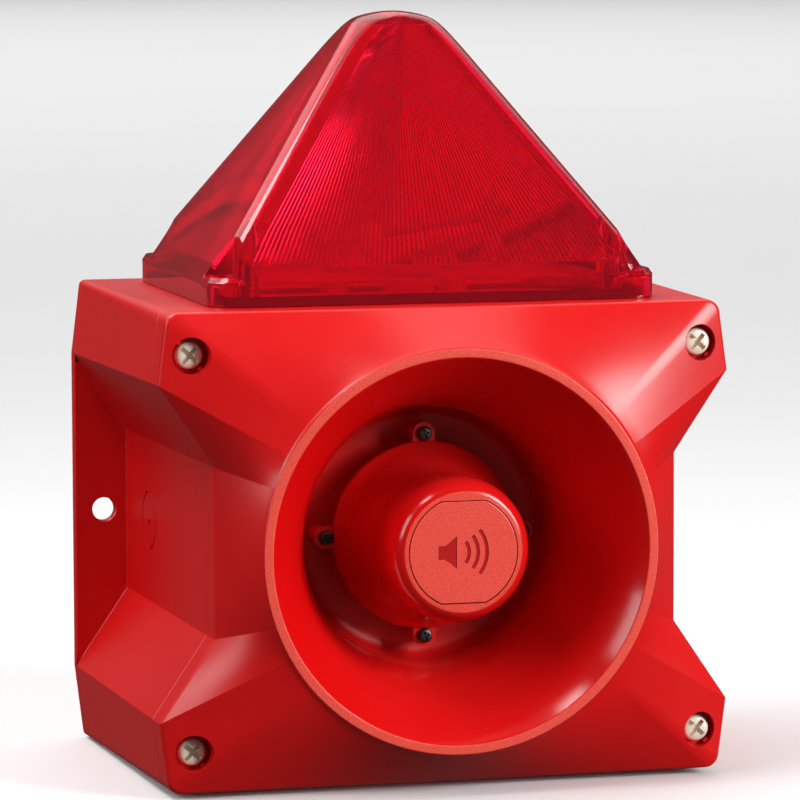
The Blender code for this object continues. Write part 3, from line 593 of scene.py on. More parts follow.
def knockoutPip(side):
    # small centre mark on the knock-out
    ends = sorted((side * (knockoutWall() - 1), side * (knockoutWall() + 0.5)))
    return rod(1.2, *ends, (0, -housingShape["knockoutDepth"], 0), "X", 24)


def knockoutGroove(side):
    # a ring groove in the side wall, broken by two short bridges
    shape = housingShape
    low, high = knockoutWall() - shape["grooveDepth"], knockoutWall() + 2
    radius, half = shape["knockoutRadius"], shape["grooveHalf"]
    wide = half * 1.7
    profile = [(radius - half, low), (radius + half, low), (radius + wide, high), (radius - wide, high)]
    parts = []
    for start in (98, 278):
        rings = []
        for k in range(25):
            angle = math.radians(start + 164 * k / 24)
            rings.append([(side * along, -shape["knockoutDepth"] + r * math.cos(angle), r * math.sin(angle))
                          for r, along in profile])
        parts.append(ringLoft(rings))
    return parts


def makeHousing():
    shape = housingShape
    wall = boxShape["wall"]
    back = boxShape["backWall"]
    full = [section(0.0, 0.5, True), section(0.5, 0.0, True), section(back - 0.5, 0.0, True),
            section(back, 0.5, True)]
    recess = []
    for a, b in zip(section(back), section(back, 0.0, True)):
        recess.append(a + (b - a).normalized() * min(0.6, (b - a).length))
    fillet = curveBetween(recess, section(back, 0.0), section(back + 0.6), 4)
    front = curveBetween(section(housingFront - 0.5), section(housingFront), section(housingFront, 0.4), 3)
    outer = full + [recess] + fillet + [section(back + 0.6)]
    outer += [section(housingFront - 0.5)] + front + [section(housingFront, 0.4)]
    columnX, columnZ, columnRadius = shape["screwColumn"]
    postX, postZ, postRadius = shape["boardPost"]
    cavity = ringLoft([section(back, wall), section(housingFront + 5, wall)])
    columns = fourCorners(columnX, columnZ)
    corners = fourCorners(postX, postZ)
    depth = shape["boardDepth"]
    posts = [rod(columnRadius, back - 1, housingFront - 0.4, (x, 0, z)) for x, z in columns]
    posts += [rod(postRadius, back - 1, depth - 0.3, (x, 0, z), count=24) for x, z in corners]
    bores = [rod(shape["sleeveBore"], shape["sleeveFloor"], housingFront + 5, (x, 0, z)) for x, z in columns]
    bores += [rod(pilotRadius, back + 2, depth + 1, (x, 0, z), count=16) for x, z in corners]
    holeX, holeRadius = shape["fixingHole"]
    lensX, lensDepths = shape["lensScrews"]
    top = boxShape["corner"][1]
    for side in (-1, 1):
        rim = [(holeRadius + 0.5, -1), (holeRadius + 0.5, 0), (holeRadius, 0.5), (holeRadius, back - 0.5),
               (holeRadius + 0.5, back), (holeRadius + 0.5, back + 2)]
        bores.append(turned(rim, (side * holeX, 0, 0), count=48))
        bores += knockoutGroove(side)
        posts.append(knockoutPip(side))
        for lensDepth in lensDepths:
            bores.append(rod(lensBore, top - 8, top + 6, (side * lensX, -lensDepth, 0), "Z", 16))
    halfX, nearDepth, farDepth = shape["strobeOpening"]
    bores.append(block((-halfX, -farDepth, top - 10), (halfX, -nearDepth, top + 10)))
    bm = carved(ringLoft(outer), [("DIFFERENCE", cavity), ("UNION", joined(posts)),
                                  ("DIFFERENCE", joined(bores))])
    finishPiece("rear_housing_shell", bm, "base", "red_plastic", ["rear_housing"])


makeHousing()
print("housing made")


# front cover with the horn flare

hornShape = {
    "rimOuter": 70.4,
    "rimInner": 67.15,
    "rimFoot": 160.6,           # depth where the front surface meets the rim's outer edge
    "bendDepth": 125.0,         # from here the flare opens faster
    "bendRadius": 47.8,
    "bendSlope": 0.249,
    "floorDepth": 98.0,
    "floorRadius": 45.6,
    "wall": 2.8,
    "throatHole": 14.0,
    "skirt": 0.35,              # visible gap between cover and housing
    "seat": 138.1,              # depth that the screw heads rest on
    "counterbore": 6.4,
    "shankHole": 3.2,
    "earRadius": 36.0,
    "boltRadius": 36.5,
    "driverFace": 91.2,
}


def flareRadius(depth):
    shape = hornShape
    if depth >= shape["bendDepth"]:
        run = depth - shape["bendDepth"]
        full = rimDepth - shape["bendDepth"]
        bend = (shape["rimInner"] - shape["bendRadius"] - shape["bendSlope"] * full) / full ** 2
        return shape["bendRadius"] + shape["bendSlope"] * run + bend * run * run
    reach = 2 * (shape["bendRadius"] - shape["floorRadius"]) / shape["bendSlope"]
    run = min(shape["bendDepth"] - depth, reach)
    return shape["bendRadius"] - shape["bendSlope"] * run + shape["bendSlope"] * run * run / (2 * reach)


def screwWell(x, z):
    # counterbore and the hole for the shank; the two small keys come from wellKeys
    shape = hornShape
    profile = [(shape["shankHole"], housingFront - 6), (shape["shankHole"], shape["seat"]),
               (shape["counterbore"] - 0.2, shape["seat"]), (shape["counterbore"], shape["seat"] + 0.2),
               (shape["counterbore"], rimDepth)]
    return turned(profile, (x, 0, z), count=64)


def wellKeys(x, z):
    # two teeth inside the counterbore, upper left and lower right
    parts = []
    for degrees in (128, 308):
        angle = math.radians(degrees)
        out = Vector((math.cos(angle), 0, math.sin(angle)))
        along = Vector((-out.z, 0, out.x))
        rings = []
        for depth in (hornShape["seat"] - 0.5, boxShape["frontEdge"] + 0.2):
            ring = []
            for u, v in ((5.3, -0.8), (7.2, -0.8), (7.2, 0.8), (5.3, 0.8)):
                ring.append(Vector((x, -depth, z)) + out * u + along * v)
            rings.append(ring)
        parts.append(ringLoft(rings))
    return parts


def makeCover():
    shape = hornShape
    wall = boxShape["wall"]
    front = boxShape["frontEdge"]
    radius = boxShape["edgeRadius"]
    back = housingFront + shape["skirt"]
    lip = housingFront + 1.2
    corner = section(front - 0.25)
    foot = circleSection(shape["rimOuter"] + 0.5, shape["rimFoot"])
    start = []
    for a, b in zip(corner, foot):
        start.append(a + (b - a).normalized() * radius)
    rings = [section(back, 0.3), section(back + 0.3), section(front - 0.25 - radius)]
    rings += curveBetween(rings[-1], corner, start, 6) + [start]
    end = lerpRings(start, foot, (0.985,))[0]
    rings += lerpRings(start, end, [k / 12 for k in range(1, 13)])
    land = circleSection(shape["rimOuter"] - 0.3, rimDepth)
    rings += curveBetween(end, circleSection(shape["rimOuter"] + 0.25, rimDepth), land, 4) + [land]
    inner = circleSection(shape["rimInner"] + 0.45, rimDepth)
    lipEnd = circleSection(flareRadius(rimDepth - 0.5), rimDepth - 0.5)
    rings += [inner] + curveBetween(inner, circleSection(shape["rimInner"], rimDepth), lipEnd, 4) + [lipEnd]
    steps = 26
    low = shape["floorDepth"] + 6
    for k in range(1, steps + 1):
        depth = rimDepth - 0.5 + (low - rimDepth + 0.5) * k / steps
        rings.append(circleSection(flareRadius(depth), depth))
    floor = circleSection(shape["floorRadius"] - 6, shape["floorDepth"])
    rings += curveBetween(rings[-1], circleSection(shape["floorRadius"], shape["floorDepth"]), floor, 6)
    rings += [floor, circleSection(shape["throatHole"] + 0.5, shape["floorDepth"]),
              circleSection(shape["throatHole"], shape["floorDepth"] - 0.5),
              circleSection(shape["throatHole"], shape["floorDepth"] - wall),
              circleSection(shape["floorRadius"] + shape["wall"], shape["floorDepth"] - wall)]
    for k in range(9):
        depth = shape["floorDepth"] + 12 + 42 * k / 8
        rings.append(circleSection(flareRadius(depth) + shape["wall"], depth))
    rings += [section(front - wall, wall), section(lip, wall), section(lip, 1.0), section(back, 1.0)]

    columnX, columnZ, columnRadius = housingShape["screwColumn"]
    bosses = [rod(columnRadius, lip + 0.4, front - 1, (x, 0, z)) for x, z in fourCorners(columnX, columnZ)]
    bores = []
    for i in range(4):
        ear = polar(shape["earRadius"], 90 * i)
        bolt = polar(shape["boltRadius"], 90 * i + 45)
        bosses.append(rod(3.4, shape["floorDepth"] - 1.5, 106.2, ear, count=24))
        bosses.append(rod(3.6, shape["driverFace"] + 0.3, shape["floorDepth"] - 1.5, bolt, count=24))
        bores.append(rod(pilotRadius, shape["floorDepth"] + 1, 108, ear, count=16))
        bores.append(rod(pilotRadius, shape["driverFace"] - 2, shape["floorDepth"] - 2, bolt, count=16))
    keys = []
    for x, z in fourCorners(columnX, columnZ):
        bores.append(screwWell(x, z))
        keys += wellKeys(x, z)
    bm = carved(ringLoft(rings, True), [("UNION", joined(bosses)), ("DIFFERENCE", joined(bores)),
                                        ("UNION", joined(keys))])
    finishPiece("front_cover_shell", bm, "cover", "red_plastic", ["front_cover"])


def makeCoverSeal():
    low = housingFront + 0.3
    high = housingFront + 0.9
    rings = [section(low, 1.3), section(high, 1.3), section(high, 2.8), section(low, 2.8)]
    finishPiece("cover_seal", ringLoft(rings, True), "base", "red_silicone", ["cover_gasket"])


makeCover()
makeCoverSeal()
print("front cover made")


# horn plug and its badge

plugShape = {
    "back": 109.0,
    "rim": 33.4,
    "barrel": 25.3,
    "badgeRadius": 19.25,
    "badgeFlat": 17.6,
    "badgeThick": 2.2,
    "earHalf": 4.0,
    "earDepths": (106.5, 110.5),
    "markDepth": 0.25,
}


def plugProfile():
    # (radius, depth) from the rear rim over the bell and the shoulder to the front
    back = plugShape["back"]
    rim = plugShape["rim"]
    barrel = plugShape["barrel"]
    profile = [(rim - 0.5, back), (rim - 0.12, back + 0.15), (rim, back + 0.5), (rim, back + 1.6)]
    profile += [(rim - 0.3, back + 2.6)]
    steps = 16
    for k in range(steps + 1):          # the bell narrows quickly, then runs into the barrel
        t = k / steps
        profile.append((barrel + (rim - 2.3 - barrel) * (1 - t) ** 2.6, back + 4.6 + 24 * t))
    profile.append((barrel + 0.1, back + 34))
    shoulder = 10.5
    start = rimDepth - shoulder
    for k in range(1, 15):              # rounded shoulder, a quarter of an ellipse
        angle = math.pi / 2 * k / 15
        profile.append((20.4 + (barrel + 0.1 - 20.4) * math.cos(angle), start + shoulder * math.sin(angle)))
    profile.append((20.3, rimDepth - 0.05))
    profile.append((19.9, rimDepth))
    return profile


def discWithFlats(radius, flat, depths):
    edge = math.asin(flat / radius)
    plan = []
    for start in (-edge, math.pi - edge):
        for i in range(25):
            angle = start + 2 * edge * i / 24
            plan.append((radius * math.cos(angle), radius * math.sin(angle)))
    return [[Vector((x * scale, -depth, z * scale)) for x, z in plan] for depth, scale in depths]


def earSolid(degrees):
    half = plugShape["earHalf"]
    reach = hornShape["earRadius"]
    plan = [(30.8, -half)]
    for k in range(13):
        angle = math.radians(-90 + 180 * k / 12)
        plan.append((reach + half * math.cos(angle), half * math.sin(angle)))
    plan.append((30.8, half))
    turn = Matrix.Rotation(math.radians(-degrees), 3, "Y")
    return ringLoft([[turn @ Vector((u, -depth, v)) for u, v in plan] for depth in plugShape["earDepths"]])


def makePlug():
    back = plugShape["back"]
    profile = [(4.0, back)] + plugProfile() + [(4.0, rimDepth)]
    inner = [(4.0, back + 48), (21.0, back + 48), (22.4, back + 44), (22.6, back + 28), (25.4, back + 12),
             (28.0, back + 6.5), (30.8, back + 2.2), (30.8, back - 5)]
    front = rimDepth
    thick = plugShape["badgeThick"]
    radius = plugShape["badgeRadius"] + 0.3
    flat = plugShape["badgeFlat"] + 0.3
    seat = ringLoft(discWithFlats(radius, flat, [(front - thick - 0.3, 1), (front + 2, 1)]))
    ears = joined([earSolid(90 * i) for i in range(4)])
    holes = [seat]
    for i in range(4):
        holes.append(rod(pilotRadius, 100, 116, polar(hornShape["earRadius"], 90 * i), count=16))
    bm = carved(turned(profile, count=128), [("DIFFERENCE", turned(inner, count=64)), ("UNION", ears),
                                             ("DIFFERENCE", joined(holes))])
    finishPiece("horn_plug_shell", bm, "cover", "red_plastic", ["horn_plug"])


def markParts():
    # a generic sounding horn: a small funnel and three arcs
    front = rimDepth
    low = front - plugShape["markDepth"]

    def plate(points):
        return ringLoft([[(x, -depth, z) for x, z in points] for depth in (low, front + 1)])

    def arcBand(radius, half, width):
        points = []
        for k in range(13):
            angle = math.radians(-half + 2 * half * k / 12)
            points.append((radius * math.cos(angle), radius * math.sin(angle)))
        for k in range(13):
            angle = math.radians(half - 2 * half * k / 12)
            points.append(((radius - width) * math.cos(angle), (radius - width) * math.sin(angle)))
        return plate([(x - 4.0, z) for x, z in points])

    funnel = plate([(-9.0, -2.4), (-6.6, -2.4), (-2.4, -5.6), (-2.4, 5.6), (-6.6, 2.4), (-9.0, 2.4)])
    return [funnel] + [arcBand(radius, 38, 1.3) for radius in (6.6, 9.8, 13.0)]


def makeBadge():
    front = rimDepth
    thick = plugShape["badgeThick"]
    rings = discWithFlats(plugShape["badgeRadius"], plugShape["badgeFlat"],
                          [(front - thick, 1), (front - 0.25, 1), (front - 0.07, 0.996), (front, 0.986)])
    bm = carved(ringLoft(rings), [("DIFFERENCE", joined(markParts()))])
    finishPiece("plug_badge_plate", bm, "cover", "badge_plastic", ["plug_badge"], 20)


makePlug()
makeBadge()
print("horn plug made")


# cross-recessed screws, placed by geometry nodes

def geometryTree(name, inputs):
    tree = bpy.data.node_groups.new(name, "GeometryNodeTree")
    tree.interface.new_socket(name="Geometry", in_out="INPUT", socket_type="NodeSocketGeometry")
    for label, kind, value in inputs:
        socket = tree.interface.new_socket(name=label, in_out="INPUT", socket_type=kind)
        if value is not None:
            socket.default_value = value
    tree.interface.new_socket(name="Geometry", in_out="OUTPUT", socket_type="NodeSocketGeometry")
    return tree, addNode(tree, "NodeGroupInput"), addNode(tree, "NodeGroupOutput")


def makeScrewTree():
    tree, start, end = geometryTree("crossScrew", [
        ("Head Radius", "NodeSocketFloat", 0.005), ("Head Height", "NodeSocketFloat", 0.0026),
        ("Shank Radius", "NodeSocketFloat", 0.0027), ("Shank Length", "NodeSocketFloat", 0.028),
        ("Cross Reach", "NodeSocketFloat", 0.003), ("Cross Width", "NodeSocketFloat", 0.0012),
        ("Cross Depth", "NodeSocketFloat", 0.0015), ("Cross Turn", "NodeSocketFloat", 0.7),
        ("Squareness", "NodeSocketFloat", 0.5),
        ("Facing", "NodeSocketVector", (math.pi / 2, 0.0, 0.0)), ("Finish", "NodeSocketMaterial", None)])
    link = tree.links.new
    value = start.outputs
    ball = addNode(tree, "GeometryNodeMeshUVSphere", {"Segments": 40, "Rings": 22, "Radius": 1.0})
    place = addNode(tree, "GeometryNodeInputPosition")
    split = addNode(tree, "ShaderNodeSeparateXYZ")
    link(place.outputs[0], split.inputs[0])
    squareX = mathNode(tree, "MULTIPLY", split.outputs[0], split.outputs[0])
    squareY = mathNode(tree, "MULTIPLY", split.outputs[1], split.outputs[1])
    across = mathNode(tree, "SQRT", mathNode(tree, "ADD", squareX, squareY))
    across = mathNode(tree, "MAXIMUM", across, 0.0001)
    fuller = mathNode(tree, "POWER", across, mathNode(tree, "SUBTRACT", value["Squareness"], 1.0))
    widen = mathNode(tree, "MULTIPLY", fuller, value["Head Radius"])
    raised = mathNode(tree, "POWER", mathNode(tree, "MAXIMUM", split.outputs[2], 0.0), value["Squareness"])
    shaped = addNode(tree, "ShaderNodeCombineXYZ")
    link(mathNode(tree, "MULTIPLY", split.outputs[0], widen), shaped.inputs[0])
    link(mathNode(tree, "MULTIPLY", split.outputs[1], widen), shaped.inputs[1])
    link(mathNode(tree, "MULTIPLY", raised, value["Head Height"]), shaped.inputs[2])
    head = addNode(tree, "GeometryNodeSetPosition")
    link(ball.outputs["Mesh"], head.inputs["Geometry"])
    link(shaped.outputs[0], head.inputs["Position"])
    weld = addNode(tree, "GeometryNodeMergeByDistance", {"Distance": 0.00001})
    link(head.outputs[0], weld.inputs[0])

    cross = addNode(tree, "GeometryNodeMeshBoolean", operation="UNION", solver="EXACT")
    for turn in (0.0, math.pi / 2):
        bar = addNode(tree, "GeometryNodeMeshCube")
        size = addNode(tree, "ShaderNodeCombineXYZ")
        link(mathNode(tree, "MULTIPLY", value["Cross Reach"], 2.0), size.inputs[0])
        link(value["Cross Width"], size.inputs[1])
        link(mathNode(tree, "MULTIPLY", value["Cross Depth"], 2.0), size.inputs[2])
        link(size.outputs[0], bar.inputs["Size"])
        turned90 = addNode(tree, "GeometryNodeTransform")
        angle = addNode(tree, "ShaderNodeCombineXYZ")
        lift = addNode(tree, "ShaderNodeCombineXYZ")
        link(mathNode(tree, "ADD", value["Cross Turn"], turn), angle.inputs[2])
        link(value["Head Height"], lift.inputs[2])
        link(bar.outputs["Mesh"], turned90.inputs["Geometry"])
        link(angle.outputs[0], turned90.inputs["Rotation"])
        link(lift.outputs[0], turned90.inputs["Translation"])
        link(turned90.outputs[0], cross.inputs["Mesh 2"])
    recess = addNode(tree, "GeometryNodeMeshBoolean", operation="DIFFERENCE", solver="EXACT")
    link(weld.outputs[0], recess.inputs["Mesh 1"])
    link(cross.outputs["Mesh"], recess.inputs["Mesh 2"])

    shank = addNode(tree, "GeometryNodeMeshCylinder", {"Vertices": 28})
    link(value["Shank Radius"], shank.inputs["Radius"])
    link(value["Shank Length"], shank.inputs["Depth"])
    below = addNode(tree, "GeometryNodeTransform")
    drop = addNode(tree, "ShaderNodeCombineXYZ")
    link(mathNode(tree, "MULTIPLY", value["Shank Length"], -0.5), drop.inputs[2])
    link(shank.outputs["Mesh"], below.inputs["Geometry"])
    link(drop.outputs[0], below.inputs["Translation"])
    whole = addNode(tree, "GeometryNodeJoinGeometry")
    link(recess.outputs["Mesh"], whole.inputs[0])
    link(below.outputs[0], whole.inputs[0])

    spread = addNode(tree, "GeometryNodeInstanceOnPoints")
    link(value["Geometry"], spread.inputs["Points"])
    link(whole.outputs[0], spread.inputs["Instance"])
    link(value["Facing"], spread.inputs["Rotation"])
    solid = addNode(tree, "GeometryNodeRealizeInstances")
    painted = addNode(tree, "GeometryNodeSetMaterial")
    link(spread.outputs[0], solid.inputs[0])
    link(solid.outputs[0], painted.inputs["Geometry"])
    link(value["Finish"], painted.inputs["Material"])
    link(painted.outputs[0], end.inputs[0])
    return tree


screwTree = makeScrewTree()


def nodesMesh(name, tree, base, values):
    # runs a geometry tree on a mesh and returns the plain result
    thing = sceneObject(name + "_base", base)
    modifier = thing.modifiers.new(name, "NODES")
    modifier.node_group = tree
    sockets = {item.name: item.identifier for item in tree.interface.items_tree if item.in_out == "INPUT"}
    for label, setting in values.items():
        modifier[sockets[label]] = setting
    mesh = evaluatedMesh(thing)
    bpy.data.objects.remove(thing)
    return mesh


def pointMesh(points):
    mesh = bpy.data.meshes.new("seats")
    mesh.from_pydata([Vector(p) * millimetre for p in points], [], [])
    return mesh


def makeScrews(name, body, finish, nodes, seats, look):
    values = {label: look[label] * millimetre for label in
              ("Head Radius", "Head Height", "Shank Radius", "Shank Length", "Cross Reach", "Cross Width",
               "Cross Depth")}
    values["Cross Turn"] = math.radians(look["turn"])
    values["Squareness"] = look["square"]
    values["Facing"] = tuple(math.radians(a) for a in look["facing"])
    values["Finish"] = finishes[finish]
    mesh = nodesMesh(name, screwTree, pointMesh(seats), values)
    piece = sceneObject(name, mesh)
    mesh.shade_smooth()
    mesh.set_sharp_from_angle(angle=math.radians(35))
    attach(piece, body)
    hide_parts(*nodes)


def screwLook(radius, height, shank, length, reach, width, depth, turn, square=0.5, facing=(90, 0, 0)):
    return {"Head Radius": radius, "Head Height": height, "Shank Radius": shank, "Shank Length": length,
            "Cross Reach": reach, "Cross Width": width, "Cross Depth": depth, "turn": turn, "square": square,
            "facing": facing}


coverScrewLook = screwLook(4.85, 2.6, 2.7, 28, 3.6, 1.6, 2.3, -42, 0.55)
smallScrewLook = screwLook(2.6, 1.7, 1.2, 10, 1.6, 0.7, 0.9, 20)
boardScrewLook = screwLook(2.8, 1.8, 1.3, 7.5, 1.7, 0.7, 0.9, 35)
lensScrewLook = screwLook(3.0, 2.0, 1.6, 15, 1.8, 0.8, 1.0, 10, 0.5, (180, 0, 0))
driverScrewLook = screwLook(2.6, 1.8, 1.4, 8.5, 1.6, 0.7, 0.9, 50, 0.5, (-90, 0, 0))

columnX, columnZ = housingShape["screwColumn"][:2]
for vertical, sz in (("top", 1), ("bottom", -1)):
    for side, sx in (("left", -1), ("right", 1)):
        corner = vertical + "_" + side
        makeScrews("pan_screw_" + corner, "screw_" + corner, "plated_steel", ["cover_screw_" + corner],
                   [(sx * columnX, -(hornShape["seat"] + 0.3), sz * columnZ)], coverScrewLook)


def numbered(label):
    return ["%s_%d" % (label, i + 1) for i in range(4)]


def seatsOf(nodes, face, look):
    # the middle of each screw's box, moved to the seat under the head; face is where the head looks
    axis, end, sign = {"front": (1, 0, 1), "back": (1, 1, -1), "below": (2, 0, 1)}[face]
    seats = []
    for node in nodes:
        corners = frameBox(node)
        seat = (corners[0] + corners[1]) / 2
        seat[axis] = corners[end][axis] + sign * look["Head Height"]
        seats.append(seat)
    return seats


towerScrews = ["lens_screw_" + place for place in ("back_left", "back_right", "front_left", "front_right")]
for name, body, nodes, face, look in (
        ("ear_screws", "cover", numbered("plug_screw"), "front", smallScrewLook),
        ("circuit_screws", "base", numbered("board_screw"), "front", boardScrewLook),
        ("flange_screws", "cover", numbered("driver_screw"), "back", driverScrewLook),
        ("tower_screws", "base", towerScrews, "below", lensScrewLook)):
    makeScrews(name, body, "zinc_steel", nodes, seatsOf(nodes, face, look), look)
print("screws made")


# pyramid lens

lensShape = {
    "halfX": 80.7,
    "depths": (8.7, 129.5),
    "foot": 83.5,
    "shoulder": lensShoulder,
    "apex": lensApex,
    "top": frameBox("lens")[1].z - 0.88,
    "crownRadius": 40.0,
    "wall": 2.6,
    "pocket": (77.5, (16.2, 122.0), 9.5, 93.5),     # x, depths, radius, floor height
    "tower": (66.0, (21.0, 117.0), 4.6),
    "ribPitch": 1.86,
    "ribDepth": 0.55,
    "ribFoot": 96.0,
    "ribTop": 178.0,
}
lensMiddle = sum(lensShape["depths"]) / 2
lensHalfY = (lensShape["depths"][1] - lensShape["depths"][0]) / 2


def lean(bm):
    # the box's top rises towards the wall, and what stands on it rises with it
    for vert in bm.verts:
        vert.co.z += boxShape["draft"] * (boxShape["frontEdge"] * millimetre + vert.co.y)
    return bm


def roundedRectangle(halfX, halfY, radius, z, acrossX, acrossY, arcSteps=6):
    # a rectangle with round corners whose sides have a set number of steps
    radius = min(radius, halfX - 0.01, halfY - 0.01)
    arcs = []
    for sx, sy, start in ((1, 1, 0), (-1, 1, 90), (-1, -1, 180), (1, -1, 270)):
        arc = []
        for k in range(arcSteps + 1):
            angle = math.radians(start + 90 * k / arcSteps)
            arc.append(Vector((sx * (halfX - radius) + radius * math.cos(angle),
                               sy * (halfY - radius) + radius * math.sin(angle) - lensMiddle, z)))
        arcs.append(arc)
    ring = []
    for i, arc in enumerate(arcs):
        ring += arc
        count = acrossX if i % 2 == 0 else acrossY
        following = arcs[(i + 1) % 4][0]
        ring += [arc[-1].lerp(following, k / count) for k in range(1, count)]
    return ring


def lensHalf(half, height):
    # half width of a slope at a height, rounded over at the crown
    shape = lensShape
    flat = half * (shape["apex"] - height) / (shape["apex"] - shape["shoulder"])
    drop = max(shape["top"] - height, 0.004)
    if drop > 14:
        return flat
    dome = math.sqrt(2 * shape["crownRadius"] * drop - drop * drop)
    rounded = (flat ** -8 + dome ** -8) ** (-1 / 8)
    share = min(max((drop - 5) / 9, 0), 1)
    return rounded + (flat - rounded) * share


def lensCorner(drop):
    # the hips are tightest at the foot and widen into the crown
    if drop > 83:
        return 6.0 + 2.3 * (drop - 83) / 8.5
    if drop > 9.5:
        return 6.0 + 1.5 * (83 - drop) / 73.5
    return 7.5 + 1.5 * (9.5 - drop) / 8


def lensRing(height, inset, acrossX, acrossY, lower=0.0):
    shape = lensShape
    halfX = max(lensHalf(shape["halfX"], height) - 1.24 * inset, 0.3)
    halfY = max(lensHalf(lensHalfY, height) - 1.14 * inset, 0.3)
    radius = max(lensCorner(shape["top"] - height) - 0.6 * inset, 0.25)
    return roundedRectangle(halfX, halfY, radius, height - lower, acrossX, acrossY)


crownDrops = (16, 12, 9, 6.5, 4.5, 3, 2, 1.2, 0.6, 0.2, 0.03)


def lensOuter():
    shape = lensShape
    acrossX, acrossY = 12, 10
    rings = [roundedRectangle(shape["halfX"], lensHalfY, 8.5, z, acrossX, acrossY)
             for z in (shape["foot"], shape["shoulder"] - 0.3)]
    rings.append(roundedRectangle(shape["halfX"] - 0.3, lensHalfY - 0.3, 8.3, shape["shoulder"] + 0.05,
                                  acrossX, acrossY))
    for drop in (87, 83, 68, 53, 38, 26):
        rings.append(lensRing(shape["top"] - drop, 0.0, acrossX, acrossY))
    rings += [lensRing(shape["top"] - drop, 0.0, acrossX, acrossY) for drop in crownDrops]
    return lean(ringLoft(rings))


def makeRibTree():
    # presses a pleat into a smooth wall: every marked column moves out by a share of the rib depth
    tree, start, end = geometryTree("pressedRibs", [
        ("Rib Depth", "NodeSocketFloat", 0.0005), ("Rib Foot", "NodeSocketFloat", 0.096),
        ("Rib Top", "NodeSocketFloat", 0.178), ("Finish", "NodeSocketMaterial", None)])
    link = tree.links.new
    value = start.outputs
    mark = addNode(tree, "GeometryNodeInputNamedAttribute", {"Name": "ribPush"}, data_type="FLOAT_VECTOR")
    place = addNode(tree, "GeometryNodeInputPosition")
    split = addNode(tree, "ShaderNodeSeparateXYZ")
    link(place.outputs[0], split.inputs[0])
    above = mathNode(tree, "GREATER_THAN", split.outputs[2], value["Rib Foot"])
    under = mathNode(tree, "LESS_THAN", split.outputs[2], value["Rib Top"])
    depth = mathNode(tree, "MULTIPLY", mathNode(tree, "MULTIPLY", above, under), value["Rib Depth"])
    push = addNode(tree, "ShaderNodeVectorMath", operation="SCALE")
    link(mark.outputs["Attribute"], push.inputs[0])
    link(depth, push.inputs["Scale"])
    pressed = addNode(tree, "GeometryNodeSetPosition")
    link(value["Geometry"], pressed.inputs["Geometry"])
    link(push.outputs[0], pressed.inputs["Offset"])
    solid = addNode(tree, "GeometryNodeRealizeInstances")
    painted = addNode(tree, "GeometryNodeSetMaterial")
    link(pressed.outputs[0], solid.inputs[0])
    link(solid.outputs[0], painted.inputs["Geometry"])
    link(value["Finish"], painted.inputs["Material"])
    link(painted.outputs[0], end.inputs[0])
    return tree


def lensHollow():
    # the inner form: plain at the foot, pleated on the slopes, smooth under the crown
    shape = lensShape
    wall = shape["wall"]
    corner = 11                 # no ribs this near a side's end
    acrossX = 4 * round((shape["halfX"] - corner) / shape["ribPitch"])
    acrossY = 4 * round((lensHalfY - corner) / shape["ribPitch"])
    heights = [shape["ribFoot"], shape["ribFoot"] + 0.4]
    top = shape["ribTop"]
    for k in range(1, 7):
        heights.append(shape["ribFoot"] + (top - 12 - shape["ribFoot"]) * k / 6)
    heights += [top - 8, top - 4, top - 0.4, top]
    rings = [roundedRectangle(shape["halfX"] - wall, lensHalfY - wall, 6.0, z, acrossX, acrossY)
             for z in (shape["foot"] - 5, shape["shoulder"] - wall * 0.7)]
    rings += [lensRing(height, wall, acrossX, acrossY) for height in heights]
    rings += [lensRing(shape["top"] - drop, wall, acrossX, acrossY, wall) for drop in (1.6, 0.8, 0.3, 0.05)]
    bm = ringLoft(rings)
    mark = bm.verts.layers.float_vector.new("ribPush")
    arcSteps = 6
    count = len(rings[0])
    outward = [None] * count
    i = 0
    for side, across in enumerate((acrossX, acrossY, acrossX, acrossY)):
        i += arcSteps
        for k in range(across + 1):
            if k % 2 == 1 and 1 < k < across - 1:
                outward[(i + k) % count] = ((0, 1), (-1, 0), (0, -1), (1, 0))[side]
        i += across
    bm.verts.ensure_lookup_table()
    span = (shape["apex"] - shape["ribFoot"]) * millimetre
    for index, vert in enumerate(bm.verts):
        push = outward[index % count]
        if push is not None:
            share = (shape["apex"] * millimetre - vert.co.z) / span
            vert[mark] = Vector((push[0], push[1], 0.0)) * max(share, 0.0)
    mesh = bpy.data.meshes.new("lensHollow")
    bm.to_mesh(mesh)
    bm.free()
    values = {"Rib Depth": shape["ribDepth"] * millimetre, "Rib Foot": (shape["ribFoot"] + 0.2) * millimetre,
              "Rib Top": (top - 0.2) * millimetre, "Finish": finishes["red_lens"]}
    ribbed = nodesMesh("ribs", makeRibTree(), mesh, values)
    bm = bmesh.new()
    bm.from_mesh(ribbed)
    return lean(bm)


def lensColumns(x, depths, radius, low, high, count=40):
    rods = [rod(radius, low, high, (side * x, -depth, 0), "Z", count) for side in (-1, 1) for depth in depths]
    return lean(joined(rods))


def makeLens():
    shape = lensShape
    wall = shape["wall"]
    pocketX, pocketDepths, pocketRadius, pocketFloor = shape["pocket"]
    towerX, towerDepths, towerRadius = shape["tower"]
    foot = shape["foot"]
    hollow = carved(lensHollow(), [
        ("DIFFERENCE", lensColumns(pocketX, pocketDepths, pocketRadius + wall, pocketFloor - wall, 150)),
        ("DIFFERENCE", lensColumns(towerX, towerDepths, towerRadius, foot, 150, 32))])
    bm = carved(lensOuter(), [
        ("DIFFERENCE", lensColumns(pocketX, pocketDepths, pocketRadius, pocketFloor, 140, 64)),
        ("DIFFERENCE", hollow),
        ("DIFFERENCE", lensColumns(towerX, towerDepths, lensBore, foot - 4, foot + 15, 24))])
    finishPiece("pyramid_lens", bm, "base", "red_lens", ["lens"], 24)


makeLens()
print("lens made")


# what stays from the frame: merged copies with soft edges, so that round pieces shade round

